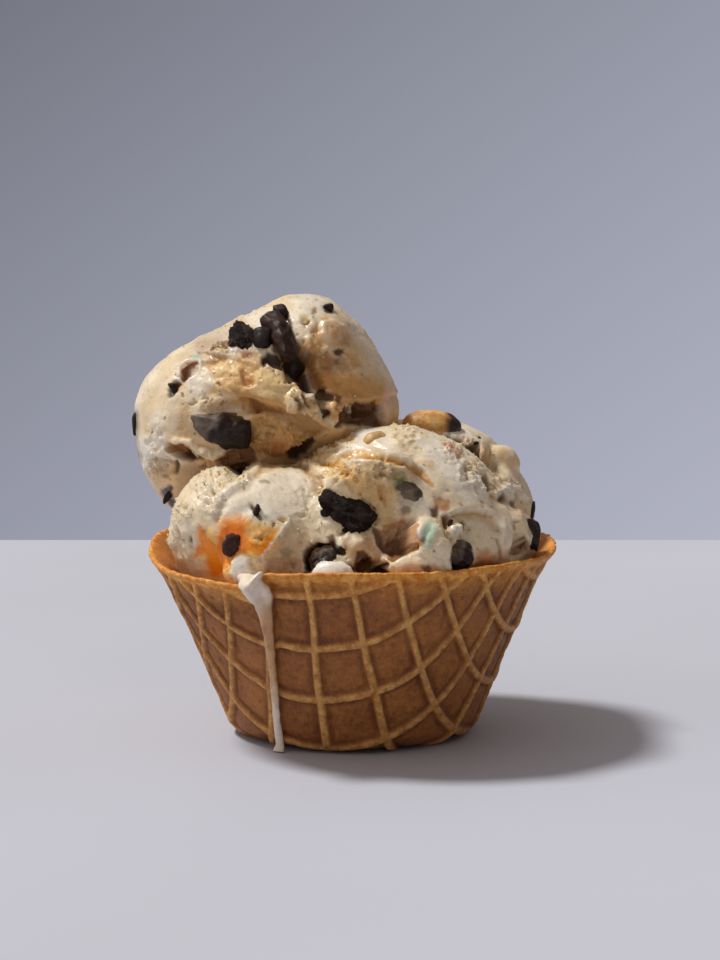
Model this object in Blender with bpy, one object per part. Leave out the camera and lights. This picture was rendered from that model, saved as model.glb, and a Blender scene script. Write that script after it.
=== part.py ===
"""Ice cream in a waffle bowl: a pressed waffle shell, three scoops, the sweets in them and one melted run.

Run with: blender --background --python part.py
Lengths are in millimetres, and new_node turns them into metres. +Z is up and the front is -Y.
The origin is the centre of the foot, where two waffle ribs cross.
A bearing is an angle round +Z in degrees: 0 is the front, 90 the right, 180 the back.
"""

import math

import bmesh
import bpy
import numpy as np

MM = 0.001
CLEARANCE = 0.4

# Waffle shell. The skin is the floor of the pockets, and the ribs stand out of it.
RIB_HEIGHT = 0.9
RIB_TOP = 0.9
RIB_FOOT = 1.9
RIB_PITCH = 14.6
RIB_BEARING = -12.0
EDGE_BAND = 0.6
EDGE_FADE = 4.0
SHELL_THICKNESS = 2.0
FOOT_RADIUS = 25.8
HEEL_RADIUS = 6.0
WALL_RISE = 68.0
WALL_LENGTH = 38.8
LIP_RADIUS = 15.0
LIP_RISE = 40.0
CAVITY_STEPS = 48

# The flat waffle is gathered in three places as it is pressed up into a bowl, so its ribs bend aside there.
GATHER = 3.0
GATHERS = 3
GATHER_BEARING = -8.0
GATHER_START = 28.0
GATHER_FULL = 50.0

# The rim isn't level: its front left sank while it was soft, up to a crack where the melted run crosses.
CRACK_BEARING = -27.0
SAG_START = -98.0
SAG_FULL = -55.0
SAG_DROP = 2.8
SAG_FLARE = 1.2
CRACK_WIDTH = 3.0
RIM_WAVE = 0.4
SOFT_FROM, SOFT_TO = 18.0, 46.0

# Scoops: each is a blend of lobes with hollows pressed out, seen from its centre.
# A lobe or a hollow is (centre, radii, turn), where turn is (about X, about Y, about Z) in degrees.
BLEND = 7.0
HOLLOW_BLEND = 3.0
BOTTOM_BLEND = 3.0
REACH = 70.0
REACH_STEPS = 140
HALVINGS = 12
SCOOP_GAP = 1.0

FRONT_CENTRE = (0.0, -8.0, 40.0)
FRONT_LOBES = (
    ((-22.5, -16.0, 44.0), (23.0, 26.0, 25.5), (0, 0, 0)),
    ((10.0, -11.0, 44.0), (32.0, 31.0, 34.0), (0, 0, 0)),
    ((30.0, -10.0, 44.0), (17.0, 23.0, 16.0), (0, 0, 0)),
    ((0.0, 3.0, 27.0), (50.0, 48.0, 26.0), (0, 0, 0)),
    ((20.0, -35.0, 46.0), (8.0, 8.5, 10.0), (0, -25, 0)),
    ((-32.5, -18.0, 58.0), (9.0, 14.0, 9.5), (0, 0, 0)),
)
FRONT_HOLLOWS = (
    ((4.0, -44.0, 60.0), (15.0, 9.0, 9.0), (20, -12, 0)),
    ((9.5, -46.0, 49.0), (6.5, 8.0, 5.5), (0, 0, 0)),
    ((-6.5, -48.0, 46.5), (7.0, 6.5, 5.0), (0, 20, 0)),
    ((-8.0, -36.0, 70.0), (3.0, 9.0, 9.0), (-20, 25, 0)),
    ((-27.5, -14.0, 71.5), (2.6, 14.0, 5.5), (0, 0, 0)),
)

TOP_CENTRE = (-20.0, 9.0, 80.0)
TOP_LOBES = (
    ((-31.5, 9.0, 78.0), (23.5, 24.5, 23.0), (0, 0, 0)),
    ((-12.0, 9.0, 91.0), (16.0, 20.5, 17.8), (0, 0, 0)),
    ((-5.5, 9.5, 79.5), (17.0, 19.0, 15.5), (0, 0, 0)),
    ((-23.5, 9.0, 87.3), (17.0, 19.0, 16.0), (0, 0, 0)),
    ((-33.0, 9.0, 68.0), (18.0, 19.0, 18.0), (0, 0, 0)),
    ((-17.0, -10.0, 83.0), (15.0, 8.0, 6.5), (0, 22, 0)),
)
TOP_HOLLOWS = (
    ((-12.0, -15.0, 93.0), (2.6, 7.0, 16.0), (0, -27, 0)),
    ((-15.0, -19.0, 72.5), (15.0, 8.0, 5.5), (0, 14, 0)),
    ((-40.0, -17.0, 66.0), (8.0, 5.0, 3.2), (0, 20, 0)),
)

BACK_CENTRE = (18.0, 18.0, 48.0)
BACK_LOBES = (
    ((18.0, 18.0, 48.0), (28.8, 27.5, 28.8), (0, 0, 0)),
    ((-12.0, 26.0, 44.0), (20.0, 16.0, 14.0), (0, 0, 0)),
)
BACK_HOLLOWS = (((38.0, 4.0, 70.0), (3.0, 12.0, 7.0), (0, 35, 0)),)

# Sweets: name: (scoop, bearing, rise above the horizontal, length and breadth and height, spin, depth sunk).
# The bearing and the rise are the way from the scoop's centre to the sweet.
SWEETS = {
    "cookie_front": ("front", -3.0, 39.0, (15.0, 8.0, 7.0), -42, 2.0),
    "cookie_top": ("top", -27.0, 52.0, (10.5, 7.0, 6.5), -72, 1.8),
    "chocolate_slab": ("top", 9.0, 51.0, (15.0, 6.0, 6.5), -70, 1.2),
    "chocolate_chunk": ("top", -29.0, -6.0, (16.0, 9.5, 8.0), -10, 2.0),
    "chocolate_lower": ("front", -14.0, 17.0, (7.0, 6.0, 5.5), 40, 1.5),
    "chocolate_right": ("front", 39.5, 15.0, (6.6, 4.6, 4.4), 80, 1.0),
    "chocolate_rim": ("front", 79.0, 14.5, (8.0, 6.0, 5.0), 70, 1.0),
    "candy_dark": ("front", 28.0, 39.5, (8.5, 5.0, 4.8), -50, 1.4),
    "candy_orange": ("front", -44.0, 17.5, (6.4, 5.4, 5.0), 60, 1.6),
    "peanut_coated": ("front", 27.0, 70.5, (7.0, 5.0, 4.8), 10, 1.2),
    "nut_back": ("back", 16.0, 76.0, (16.0, 9.0, 8.0), -16, 0.6),
    "chocolate_back": ("back", 165.0, 30.0, (11.0, 8.0, 7.0), 20, 2.0),
    "cookie_rear": ("top", 170.0, 20.0, (12.0, 9.0, 7.0), 40, 2.0),
}
SWEET_ROUGHNESS = 0.22
SWEET_SQUARENESS = 0.35

# The melted run leaves the front scoop over the sunken rim and ends just above the table.
# Over the rim each section is (bearing, out from the rim, up from the rim, half width, way out, way up).
RUN_THICKNESS = 1.1
RUN_SIDES = 7
RUN_OVER_RIM = (
    (-31.5, -5.0, 2.6, 2.8, -0.2, 1.0),
    (-31.6, -1.8, 2.9, 2.9, 0.2, 1.0),
    (-31.2, 1.1, 2.4, 2.7, 0.6, 0.8),
    (-29.0, 3.3, 0.3, 2.4, 1.0, 0.2),
)
RUN_WALL_START = 3.0
RUN_WALL_END = 0.8
RUN_HALF_WIDTHS = (2.3, 1.7, 1.4, 1.3, 1.2, 1.2, 1.2, 1.3, 1.6)
RUN_RIM_BEARING = -25.5
RUN_RIM_LIFT = 1.15
RUN_FOOT_BEARING = -34.5
RUN_FOOT_HEIGHT = 0.4
RUN_FOOT_OUT = 0.6
RUN_FOOT_HALF_WIDTH = 1.9

COLOURS = {
    "waffle": ((0.38, 0.17, 0.055), 0.65),
    "ice_cream": ((0.78, 0.68, 0.52), 0.40),
    "chocolate": ((0.020, 0.011, 0.008), 0.35),
    "cookie": ((0.016, 0.011, 0.010), 0.60),
    "nut": ((0.50, 0.28, 0.10), 0.45),
}


def clear_scene():
    """Empties the scene."""
    for obj in list(bpy.data.objects):
        bpy.data.objects.remove(obj, do_unlink=True)


def material(name):
    """The Principled material of that name, made once."""
    found = bpy.data.materials.get(name)
    if found:
        return found
    colour, roughness = COLOURS[name]
    made = bpy.data.materials.new(name)
    made.use_nodes = True
    shader = made.node_tree.nodes["Principled BSDF"]
    shader.inputs["Base Color"].default_value = (*colour, 1.0)
    shader.inputs["Roughness"].default_value = roughness
    shader.inputs["Metallic"].default_value = 0.0
    return made


def new_node(name, bm, material_name):
    """An object from a bmesh in millimetres, with its faces turned outwards."""
    bmesh.ops.recalc_face_normals(bm, faces=bm.faces)
    bmesh.ops.scale(bm, vec=(MM, MM, MM), verts=bm.verts)
    mesh = bpy.data.meshes.new(name)
    bm.to_mesh(mesh)
    bm.free()
    mesh.materials.append(material(material_name))
    mesh.shade_smooth()
    mesh.set_sharp_from_angle(angle=math.radians(50))
    obj = bpy.data.objects.new(name, mesh)
    bpy.context.scene.collection.objects.link(obj)
    return obj


def as_cutter(obj):
    """Marks an object as a tool that only cuts."""
    obj.hide_render = True
    obj.display_type = "WIRE"
    return obj


def on_bearing(bearing, radius, height):
    """The point at a radius and height, on a bearing round the bowl's axis."""
    turn = math.radians(bearing)
    return np.array([radius * math.sin(turn), -radius * math.cos(turn), height])


def smoothstep(low, high, value):
    """0 below low, 1 above high, and an S-curve between them."""
    share = np.clip((value - low) / (high - low), 0.0, 1.0)
    return share * share * (3.0 - 2.0 * share)


# The bowl's profile, walked from the centre of the foot: flat foot, round heel, straight wall, lip.
HEEL_LENGTH = HEEL_RADIUS * math.radians(WALL_RISE)
LIP_LENGTH = LIP_RADIUS * math.radians(WALL_RISE - LIP_RISE)
DISC_RADIUS = FOOT_RADIUS + HEEL_LENGTH + WALL_LENGTH + LIP_LENGTH


def profile(walk):
    """(radius, height, rise of the skin in radians) of the skin, that far along it from the foot's centre."""
    rise = math.radians(WALL_RISE)
    lip_rise = math.radians(LIP_RISE)
    radius, height = min(walk, FOOT_RADIUS), RIB_HEIGHT
    walk -= FOOT_RADIUS
    if walk <= 0:
        return radius, height, 0.0
    turned = min(walk / HEEL_RADIUS, rise)
    radius += HEEL_RADIUS * math.sin(turned)
    height += HEEL_RADIUS * (1 - math.cos(turned))
    walk -= HEEL_LENGTH
    if walk <= 0:
        return radius, height, turned
    straight = min(walk, WALL_LENGTH)
    radius += straight * math.cos(rise)
    height += straight * math.sin(rise)
    walk -= WALL_LENGTH
    if walk <= 0:
        return radius, height, rise
    turned = max(rise - walk / LIP_RADIUS, lip_rise)
    radius += LIP_RADIUS * (math.sin(rise) - math.sin(turned))
    height += LIP_RADIUS * (math.cos(turned) - math.cos(rise))
    past = max(walk - LIP_LENGTH, 0.0)
    return radius + past * math.cos(lip_rise), height + past * math.sin(lip_rise), turned


def beside_profile(walk, out):
    """(radius, height) of the point that far outside the skin, square to it."""
    radius, height, rise = profile(walk)
    return radius + out * math.sin(rise), height - out * math.cos(rise)


def rib_relief(across):
    """Height of the nearest rib of one family, that far across the pattern."""
    to_rib = abs(across - RIB_PITCH * round(across / RIB_PITCH))
    slope = (RIB_FOOT - to_rib) / (RIB_FOOT - RIB_TOP)
    return RIB_HEIGHT * min(max(slope, 0.0), 1.0)


def gathered(bearing, walk):
    """The bearing that a line of the flat waffle comes to, that far up the bowl."""
    share = smoothstep(GATHER_START, GATHER_FULL, walk)
    return bearing + GATHER * share * math.sin(math.radians(GATHERS * (bearing - GATHER_BEARING)))


def pattern_lines():
    """Where the flat waffle is creased: each rib's two feet and two top edges, and each pocket's middle."""
    ribs = math.ceil(DISC_RADIUS / RIB_PITCH)
    lines = []
    for rib in range(-ribs, ribs + 1):
        middle = rib * RIB_PITCH
        lines += [middle - RIB_FOOT, middle - RIB_TOP, middle + RIB_TOP, middle + RIB_FOOT]
        lines.append(middle + RIB_PITCH / 2)
    return lines[:-1]


def ribbed_blank():
    """The flat waffle wrapped up the bowl's profile and closed over the top: a solid bowl with its ribs."""
    lines = pattern_lines()
    bm = bmesh.new()
    rows = []
    for v in lines:
        row = []
        for u in lines:
            walk = math.hypot(u, v)
            bearing = gathered(math.degrees(math.atan2(u, v)) + RIB_BEARING, walk)
            edge_band = EDGE_BAND * smoothstep(DISC_RADIUS - EDGE_FADE, DISC_RADIUS, walk)
            relief = max(rib_relief(u), rib_relief(v), edge_band)
            radius, height = beside_profile(walk, relief)
            row.append(bm.verts.new(on_bearing(bearing, radius, height)))
        rows.append(row)
    for lower, upper in zip(rows, rows[1:]):
        for i in range(len(lines) - 1):
            bm.faces.new((lower[i], lower[i + 1], upper[i + 1], upper[i]))
    apex = bm.verts.new((0.0, 0.0, 3 * REACH))
    for edge in [e for e in bm.edges if e.is_boundary]:
        bm.faces.new((edge.verts[0], edge.verts[1], apex))
    return bm


def cavity_cutter():
    """The inside of the bowl and all that is above its rim, as a turned solid."""
    inner = [beside_profile(0.0, -SHELL_THICKNESS)]
    heel_walks = [FOOT_RADIUS + HEEL_LENGTH * share for share in (0.0, 0.5, 1.0)]
    wall_walks = [FOOT_RADIUS + HEEL_LENGTH + WALL_LENGTH * share for share in (0.35, 0.7, 1.0)]
    lip_walks = [DISC_RADIUS - LIP_LENGTH * share for share in (0.5, 0.0)]
    inner += [beside_profile(walk, -SHELL_THICKNESS) for walk in heel_walks + wall_walks + lip_walks]
    round_edge = [
        beside_profile(DISC_RADIUS + 0.7, -SHELL_THICKNESS / 2),
        beside_profile(DISC_RADIUS + 0.5, 0.4),
        beside_profile(DISC_RADIUS - 0.3, RIB_HEIGHT + 1.5),
    ]
    above = [(2 * REACH, round_edge[-1][1] - 5.0), (2 * REACH, 4 * REACH), (0.0, 4 * REACH)]
    bm = bmesh.new()
    points = [bm.verts.new((radius, 0.0, height)) for radius, height in inner + round_edge + above]
    edges = [bm.edges.new(pair) for pair in zip(points, points[1:])]
    turn = {"axis": (0, 0, 1), "cent": (0, 0, 0), "angle": math.tau, "steps": CAVITY_STEPS}
    bmesh.ops.spin(bm, geom=points + edges, use_merge=True, **turn)
    bmesh.ops.remove_doubles(bm, verts=bm.verts, dist=1e-4)
    return bm


def rim_sag(bearing):
    """How far the rim has sunk, from 0 to 1: a slow fall from the left and a short step at the crack."""
    fall = smoothstep(SAG_START, SAG_FULL, bearing)
    step = 1.0 - smoothstep(CRACK_BEARING, CRACK_BEARING + CRACK_WIDTH, bearing)
    return fall * step


def soften_rim(points):
    """The sag, flare and waves of the rim, fading out down the wall."""
    bearing = np.degrees(np.arctan2(points[:, 0], -points[:, 1]))
    radius = np.hypot(points[:, 0], points[:, 1])
    share = smoothstep(SOFT_FROM, SOFT_TO, points[:, 2]) * (radius > FOOT_RADIUS)
    sag = rim_sag(bearing) * share
    turn = np.radians(bearing)
    wave = RIM_WAVE * share * (np.sin(3 * turn + 0.9) + 0.6 * np.sin(7 * turn + 2.0))
    moved = points.copy()
    moved[:, 2] += wave - SAG_DROP * sag
    spread = 1.0 + SAG_FLARE * sag / np.maximum(radius, 1.0)
    moved[:, 0] *= spread
    moved[:, 1] *= spread
    return moved


def make_bowl():
    """The ribbed blank with its cavity cut out and its rim softened."""
    blank = new_node("ribbed_blank", ribbed_blank(), "waffle")
    cutter = as_cutter(new_node("cavity_cutter", cavity_cutter(), "waffle"))
    cut = blank.modifiers.new("cavity", "BOOLEAN")
    cut.operation = "DIFFERENCE"
    cut.solver = "EXACT"
    cut.object = cutter
    graph = bpy.context.evaluated_depsgraph_get()
    shell = bmesh.new()
    shell.from_mesh(bpy.data.meshes.new_from_object(blank.evaluated_get(graph)))
    for obj in (blank, cutter):
        bpy.data.objects.remove(obj, do_unlink=True)
    points = soften_rim(np.array([vert.co for vert in shell.verts]) / MM)
    for vert, point in zip(shell.verts, points):
        vert.co = point
    return new_node("waffle_bowl", shell, "waffle")


def turned_axes(turn):
    """The three axes of a lobe as rows, turned about X, then Y, then Z."""
    x, y, z = (math.radians(angle) for angle in turn)
    about_x = np.array([[1, 0, 0], [0, math.cos(x), -math.sin(x)], [0, math.sin(x), math.cos(x)]])
    about_y = np.array([[math.cos(y), 0, math.sin(y)], [0, 1, 0], [-math.sin(y), 0, math.cos(y)]])
    about_z = np.array([[math.cos(z), -math.sin(z), 0], [math.sin(z), math.cos(z), 0], [0, 0, 1]])
    return (about_z @ about_y @ about_x).T


def ellipsoid_distance(points, shape):
    """About how far each point is outside an ellipsoid, and negative inside it."""
    centre, radii, turn = shape
    local = (points - np.array(centre)) @ turned_axes(turn).T
    scaled = np.linalg.norm(local / np.array(radii), axis=-1)
    slope = np.linalg.norm(local / np.array(radii) ** 2, axis=-1)
    return scaled * (scaled - 1.0) / np.maximum(slope, 1e-6)


def smooth_min(a, b, width):
    """The smaller of two distances, rounded off where they come within that width of each other."""
    share = np.clip(0.5 + 0.5 * (b - a) / width, 0.0, 1.0)
    return b + (a - b) * share - width * share * (1.0 - share)


def outside_cavity(points):
    """How far each point is outside the room that the bowl leaves for ice cream."""
    rise = math.radians(WALL_RISE)
    wall_radius, wall_height = beside_profile(FOOT_RADIUS + HEEL_LENGTH, -SHELL_THICKNESS - CLEARANCE)
    radius = np.hypot(points[..., 0], points[..., 1])
    past_wall = (radius - wall_radius) * math.sin(rise) - (points[..., 2] - wall_height) * math.cos(rise)
    under_floor = RIB_HEIGHT + SHELL_THICKNESS + CLEARANCE - points[..., 2]
    return -smooth_min(-past_wall, -under_floor, BOTTOM_BLEND)


def scoop_distance(points, lobes, hollows):
    """About how far each point is outside a scoop: its lobes blended, its hollows out, kept in the bowl."""
    distance = np.full(points.shape[:-1], 1e3)
    for lobe in lobes:
        distance = smooth_min(distance, ellipsoid_distance(points, lobe), BLEND)
    for hollow in hollows:
        distance = -smooth_min(-distance, ellipsoid_distance(points, hollow), HOLLOW_BLEND)
    return np.maximum(distance, outside_cavity(points))


def scoop_reach(centre, directions, lobes, hollows):
    """How far a scoop's outermost surface is from its centre, that way: a march inwards, then halving."""
    centre = np.array(centre)
    steps = np.linspace(REACH, 0.0, REACH_STEPS + 1)
    near, far = np.zeros(len(directions)), np.zeros(len(directions))
    found = np.zeros(len(directions), bool)
    for outer, inner in zip(steps, steps[1:]):
        inside = scoop_distance(centre + directions * inner, lobes, hollows) < 0
        fresh = inside & ~found
        near[fresh], far[fresh] = inner, outer
        found |= inside
    for _ in range(HALVINGS):
        middle = (near + far) / 2
        inside = scoop_distance(centre + directions * middle[:, None], lobes, hollows) < 0
        near = np.where(inside, middle, near)
        far = np.where(inside, far, middle)
    return near


SCOOPS = {
    "front": (FRONT_CENTRE, FRONT_LOBES, FRONT_HOLLOWS, (40, 26)),
    "top": (TOP_CENTRE, TOP_LOBES, TOP_HOLLOWS, (38, 24)),
    "back": (BACK_CENTRE, BACK_LOBES, BACK_HOLLOWS, (30, 18)),
}


def scoop_ball(name, grown=0.0):
    """A UV sphere whose vertices are moved out to the scoop's surface, and that much further."""
    centre, lobes, hollows, (segments, rings) = SCOOPS[name]
    bm = bmesh.new()
    bmesh.ops.create_uvsphere(bm, u_segments=segments, v_segments=rings, radius=1.0)
    directions = np.array([vert.co for vert in bm.verts])
    directions /= np.linalg.norm(directions, axis=1)[:, None]
    reach = scoop_reach(centre, directions, lobes, hollows) + grown
    for vert, point in zip(bm.verts, np.array(centre) + directions * reach[:, None]):
        vert.co = point
    return bm


def sweet_frame(scoop, bearing, rise):
    """(a point on the scoop's surface that way, the way itself) from the scoop's centre."""
    centre, lobes, hollows, _ = SCOOPS[scoop]
    turn, lift = math.radians(bearing), math.radians(rise)
    way = np.array([math.sin(turn) * math.cos(lift), -math.cos(turn) * math.cos(lift), math.sin(lift)])
    reach = scoop_reach(centre, way[None, :], lobes, hollows)[0]
    return np.array(centre) + way * reach, way


def sweet_body(name, grown=0.0):
    """A lump with broken faces in the scoop's surface: along and across lie in it, way stands out of it."""
    scoop, bearing, rise, size, spin, sunk = SWEETS[name]
    point, way = sweet_frame(scoop, bearing, rise)
    right = np.cross(way, (0.0, 0.0, 1.0))
    right = -right / np.linalg.norm(right)
    up = np.cross(way, right)
    up = up if up[2] >= 0 else -up
    turn = math.radians(spin)
    along = right * math.cos(turn) + up * math.sin(turn)
    across = np.cross(way, along)
    bm = bmesh.new()
    bmesh.ops.create_icosphere(bm, subdivisions=2, radius=1.0)
    rng = np.random.default_rng(sum(map(ord, name)))
    rough = 0.0 if name.startswith(("nut", "peanut", "candy")) else SWEET_ROUGHNESS
    for vert in bm.verts:
        local = np.array(vert.co)
        local = local / np.max(np.abs(local)) ** SWEET_SQUARENESS * (1.0 + rough * rng.uniform(-1.0, 0.4))
        local = local * (np.array(size) / 2 + grown)
        vert.co = point - way * sunk + along * local[0] + across * local[1] + way * local[2]
    return bm


def cut_by(obj, cutters, name):
    """Takes a collection of cutters out of an object."""
    group = bpy.data.collections.new(name)
    bpy.context.scene.collection.children.link(group)
    for cutter in cutters:
        bpy.context.scene.collection.objects.unlink(cutter)
        group.objects.link(cutter)
    cut = obj.modifiers.new(name, "BOOLEAN")
    cut.operation = "DIFFERENCE"
    cut.solver = "EXACT"
    cut.operand_type = "COLLECTION"
    cut.collection = group


def make_scoops():
    """The front scoop fills the bowl, the top scoop is hollowed by it, and the back scoop by both."""
    run_bed = as_cutter(new_node("run_bed", run_body(grown=CLEARANCE), "ice_cream"))
    room = {"front": (), "top": ("front",), "back": ("front", "top")}
    for name, others in room.items():
        scoop = new_node("scoop_" + name, scoop_ball(name), "ice_cream")
        cutters = [
            as_cutter(new_node(f"{other}_room_in_{name}", scoop_ball(other, grown=SCOOP_GAP), "ice_cream"))
            for other in others
        ]
        for sweet in SWEETS:
            body = sweet_body(sweet, grown=CLEARANCE)
            cutters.append(as_cutter(new_node(f"{sweet}_socket_in_{name}", body, "ice_cream")))
        if name == "front":
            cutters.append(run_bed)
        cut_by(scoop, cutters, "cuts_in_" + name)


def make_sweets():
    """Each sweet as its own body in its socket."""
    for name in SWEETS:
        kind = name.split("_")[0]
        finish = {"cookie": "cookie", "nut": "nut", "peanut": "nut"}.get(kind, "chocolate")
        new_node(name, sweet_body(name), finish)


def run_stations():
    """The run's sections, as (bearing, radius, height, half width, way out, way up), before the rim's sag."""
    rim_radius, rim_height = beside_profile(DISC_RADIUS, 0.0)
    for bearing, beyond, above, half_width, out, up in RUN_OVER_RIM:
        yield bearing, rim_radius + beyond, rim_height + above, half_width, out, up
    stand_off = RIB_HEIGHT + CLEARANCE + RUN_THICKNESS / 2
    low_walk = FOOT_RADIUS + HEEL_LENGTH * RUN_WALL_END
    high_walk = DISC_RADIUS - RUN_WALL_START
    for share, half_width in zip(np.linspace(1.0, 0.0, len(RUN_HALF_WIDTHS)), RUN_HALF_WIDTHS):
        walk = low_walk + (high_walk - low_walk) * share
        bearing = RUN_RIM_BEARING + (RUN_FOOT_BEARING - RUN_RIM_BEARING) * (1.0 - share) ** 1.5
        radius, height = beside_profile(walk, stand_off + RUN_RIM_LIFT * share**3)
        _, _, rise = profile(walk)
        yield bearing, radius, height, half_width, math.sin(rise), -math.cos(rise)
    yield RUN_FOOT_BEARING, radius + RUN_FOOT_OUT, RUN_FOOT_HEIGHT, RUN_FOOT_HALF_WIDTH, 1.0, 0.0


def run_body(grown=0.0):
    """A flat-backed strip with a rounded face, lofted through the run's sections and sagged with the rim."""
    thickness = RUN_THICKNESS + 2 * grown
    rings = []
    for bearing, radius, height, half_width, out, up in run_stations():
        middle = on_bearing(bearing, radius, height)
        face = on_bearing(bearing, out, up) / math.hypot(out, up)
        turn = math.radians(bearing)
        aside = np.array([math.cos(turn), math.sin(turn), 0.0])
        angles = np.linspace(0.0, math.pi, RUN_SIDES)[:, None]
        width = (half_width + grown) * np.cos(angles) * aside
        rings.append(middle + width + thickness * (np.sin(angles) - 0.5) * face)
    points = soften_rim(np.concatenate(rings))
    bm = bmesh.new()
    verts = [bm.verts.new(point) for point in points]
    sections = [verts[start : start + RUN_SIDES] for start in range(0, len(verts), RUN_SIDES)]
    for upper, lower in zip(sections, sections[1:]):
        for i in range(RUN_SIDES):
            j = (i + 1) % RUN_SIDES
            bm.faces.new((upper[i], upper[j], lower[j], lower[i]))
    bm.faces.new(sections[0])
    bm.faces.new(sections[-1])
    return bm


def main():
    """Builds every node."""
    clear_scene()
    make_bowl()
    make_scoops()
    make_sweets()
    new_node("melt_run", run_body(), "ice_cream")


if __name__ == "__main__":
    main()
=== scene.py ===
# %% [markdown]
# Ice cream in a waffle bowl: the looks.
# The imported CAD model is loaded first and stays as it is. Most pieces made below stand in for one of
# its solids, in the same place and at the same size, with a finer surface and a finish of its own.

import math
from collections import namedtuple

import bpy
import numpy as np
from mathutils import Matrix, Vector


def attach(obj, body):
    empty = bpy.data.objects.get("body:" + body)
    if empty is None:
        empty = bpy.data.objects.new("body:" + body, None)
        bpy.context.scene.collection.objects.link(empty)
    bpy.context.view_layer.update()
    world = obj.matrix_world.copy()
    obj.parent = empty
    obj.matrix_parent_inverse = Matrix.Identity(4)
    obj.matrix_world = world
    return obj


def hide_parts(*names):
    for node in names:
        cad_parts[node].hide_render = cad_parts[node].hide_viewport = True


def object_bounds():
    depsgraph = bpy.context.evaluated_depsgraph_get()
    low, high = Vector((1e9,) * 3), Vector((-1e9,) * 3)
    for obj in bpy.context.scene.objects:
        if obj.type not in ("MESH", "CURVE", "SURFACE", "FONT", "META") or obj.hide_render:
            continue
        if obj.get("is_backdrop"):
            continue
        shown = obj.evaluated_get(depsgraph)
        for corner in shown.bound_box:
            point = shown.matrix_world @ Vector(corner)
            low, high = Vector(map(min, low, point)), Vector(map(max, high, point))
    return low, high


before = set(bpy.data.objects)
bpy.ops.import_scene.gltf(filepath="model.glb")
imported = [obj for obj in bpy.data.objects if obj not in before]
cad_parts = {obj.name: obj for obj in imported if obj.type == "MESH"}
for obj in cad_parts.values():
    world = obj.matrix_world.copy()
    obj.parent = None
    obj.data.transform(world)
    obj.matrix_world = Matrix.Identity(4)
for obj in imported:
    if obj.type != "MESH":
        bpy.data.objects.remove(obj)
cad_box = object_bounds()
MM = 0.001
print("CAD box in mm:", [[round(v / MM, 1) for v in corner] for corner in cad_box])

# %% [markdown]
# The camera looks from the front and a little from above, from far off, so the rim's ellipse is flat.
# A long lens is set by its focal length on a 36 mm sensor. The same numbers then turn a place in the
# picture into a ray, so that a chip or a hollow can be put where it is seen and still lie on the cream.

# %% Camera
PICTURE = (720, 960)
LENS, SENSOR = 112.5, 36.0
EYE = np.array([1.75, -740.75, 164.63])
LOOK_DOWN = math.radians(7.8)
FOCAL = LENS / SENSOR * max(PICTURE)
RIGHT = np.array([1.0, 0.0, 0.0])
UP = np.array([0.0, math.sin(LOOK_DOWN), math.cos(LOOK_DOWN)])
AHEAD = np.array([0.0, math.cos(LOOK_DOWN), -math.sin(LOOK_DOWN)])

camera_data = bpy.data.cameras.new("camera")
camera_data.lens = LENS
camera_data.sensor_width = SENSOR
camera_data.clip_start = 0.01
camera = bpy.data.objects.new("camera", camera_data)
camera.location = EYE * MM
camera.rotation_euler = (math.pi / 2 - LOOK_DOWN, 0, 0)
bpy.context.scene.collection.objects.link(camera)
bpy.context.scene.camera = camera


def sight_line(px, py):
    """The unit way from the eye through a picture point: ahead, plus right and up by the point's share."""
    way = AHEAD + RIGHT * (px - PICTURE[0] / 2) / FOCAL + UP * (PICTURE[1] / 2 - py) / FOCAL
    return way / np.linalg.norm(way)


print("focal length in picture points:", FOCAL)

# %% [markdown]
# Real surfaces are uneven at every size. Two sums give that unevenness to a whole array of points at
# once: gradient noise, which rolls smoothly up and down, and cell noise, which makes crumbs and pits.
# They are written out here because the meshes are moved before any shader sees them.

# %% Uneven surfaces
lattice = np.random.default_rng(11)
SHUFFLE = np.tile(lattice.permutation(256), 2)
SLOPES = lattice.normal(size=(256, 3))
SLOPES /= np.linalg.norm(SLOPES, axis=1)[:, None]
JITTER = lattice.uniform(0.0, 1.0, (256, 3))
CORNERS = [(i, j, k) for i in (0, 1) for j in (0, 1) for k in (0, 1)]


def smoothstep(low, high, value):
    """0 below low, 1 above high, and an S-curve between them."""
    share = np.clip((value - low) / (high - low), 0.0, 1.0)
    return share * share * (3.0 - 2.0 * share)


def lattice_index(cell):
    """A whole number from 0 to 255 for each lattice cell, by three shuffles."""
    first = SHUFFLE[cell[..., 0] & 255]
    second = SHUFFLE[(first + cell[..., 1]) & 255]
    return SHUFFLE[(second + cell[..., 2]) & 255]


def noise(points, size, seed=0):
    """Gradient noise, about -1 to 1: at each lattice corner slope times offset, blended by S-curves."""
    scaled = points / size + 19.7 * seed
    cell = np.floor(scaled).astype(int)
    inner = scaled - cell
    blend = inner**3 * (inner * (inner * 6 - 15) + 10)
    total = np.zeros(len(points))
    for corner in CORNERS:
        weight = np.prod(np.where(corner, blend, 1 - blend), axis=1)
        slope = SLOPES[lattice_index(cell + corner)]
        total += weight * np.einsum("ij,ij->i", slope, inner - corner)
    return 1.7 * total


def layered(points, size, layers, seed=0, fade=0.5):
    """Noise plus the same noise at half the size and a fading share of the height, layer on layer."""
    return sum(fade**i * noise(points, size / 2**i, seed + i) for i in range(layers))


def crumbs_at(points, size, seed=0):
    """Cell noise: (distance to the nearest random point, gap to the second nearest, a number per cell)."""
    scaled = points / size + 7.3 * seed
    cell = np.floor(scaled).astype(int)
    first, second = np.full(len(points), 9.0), np.full(len(points), 9.0)
    label = np.zeros(len(points))
    for offset in np.ndindex(3, 3, 3):
        near = cell + np.array(offset) - 1
        index = lattice_index(near)
        gap = np.linalg.norm(near + JITTER[index] - scaled, axis=1)
        label = np.where(gap < first, index / 255.0, label)
        second = np.minimum(second, np.maximum(gap, first))
        first = np.minimum(first, gap)
    return first, second - first, label


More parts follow.
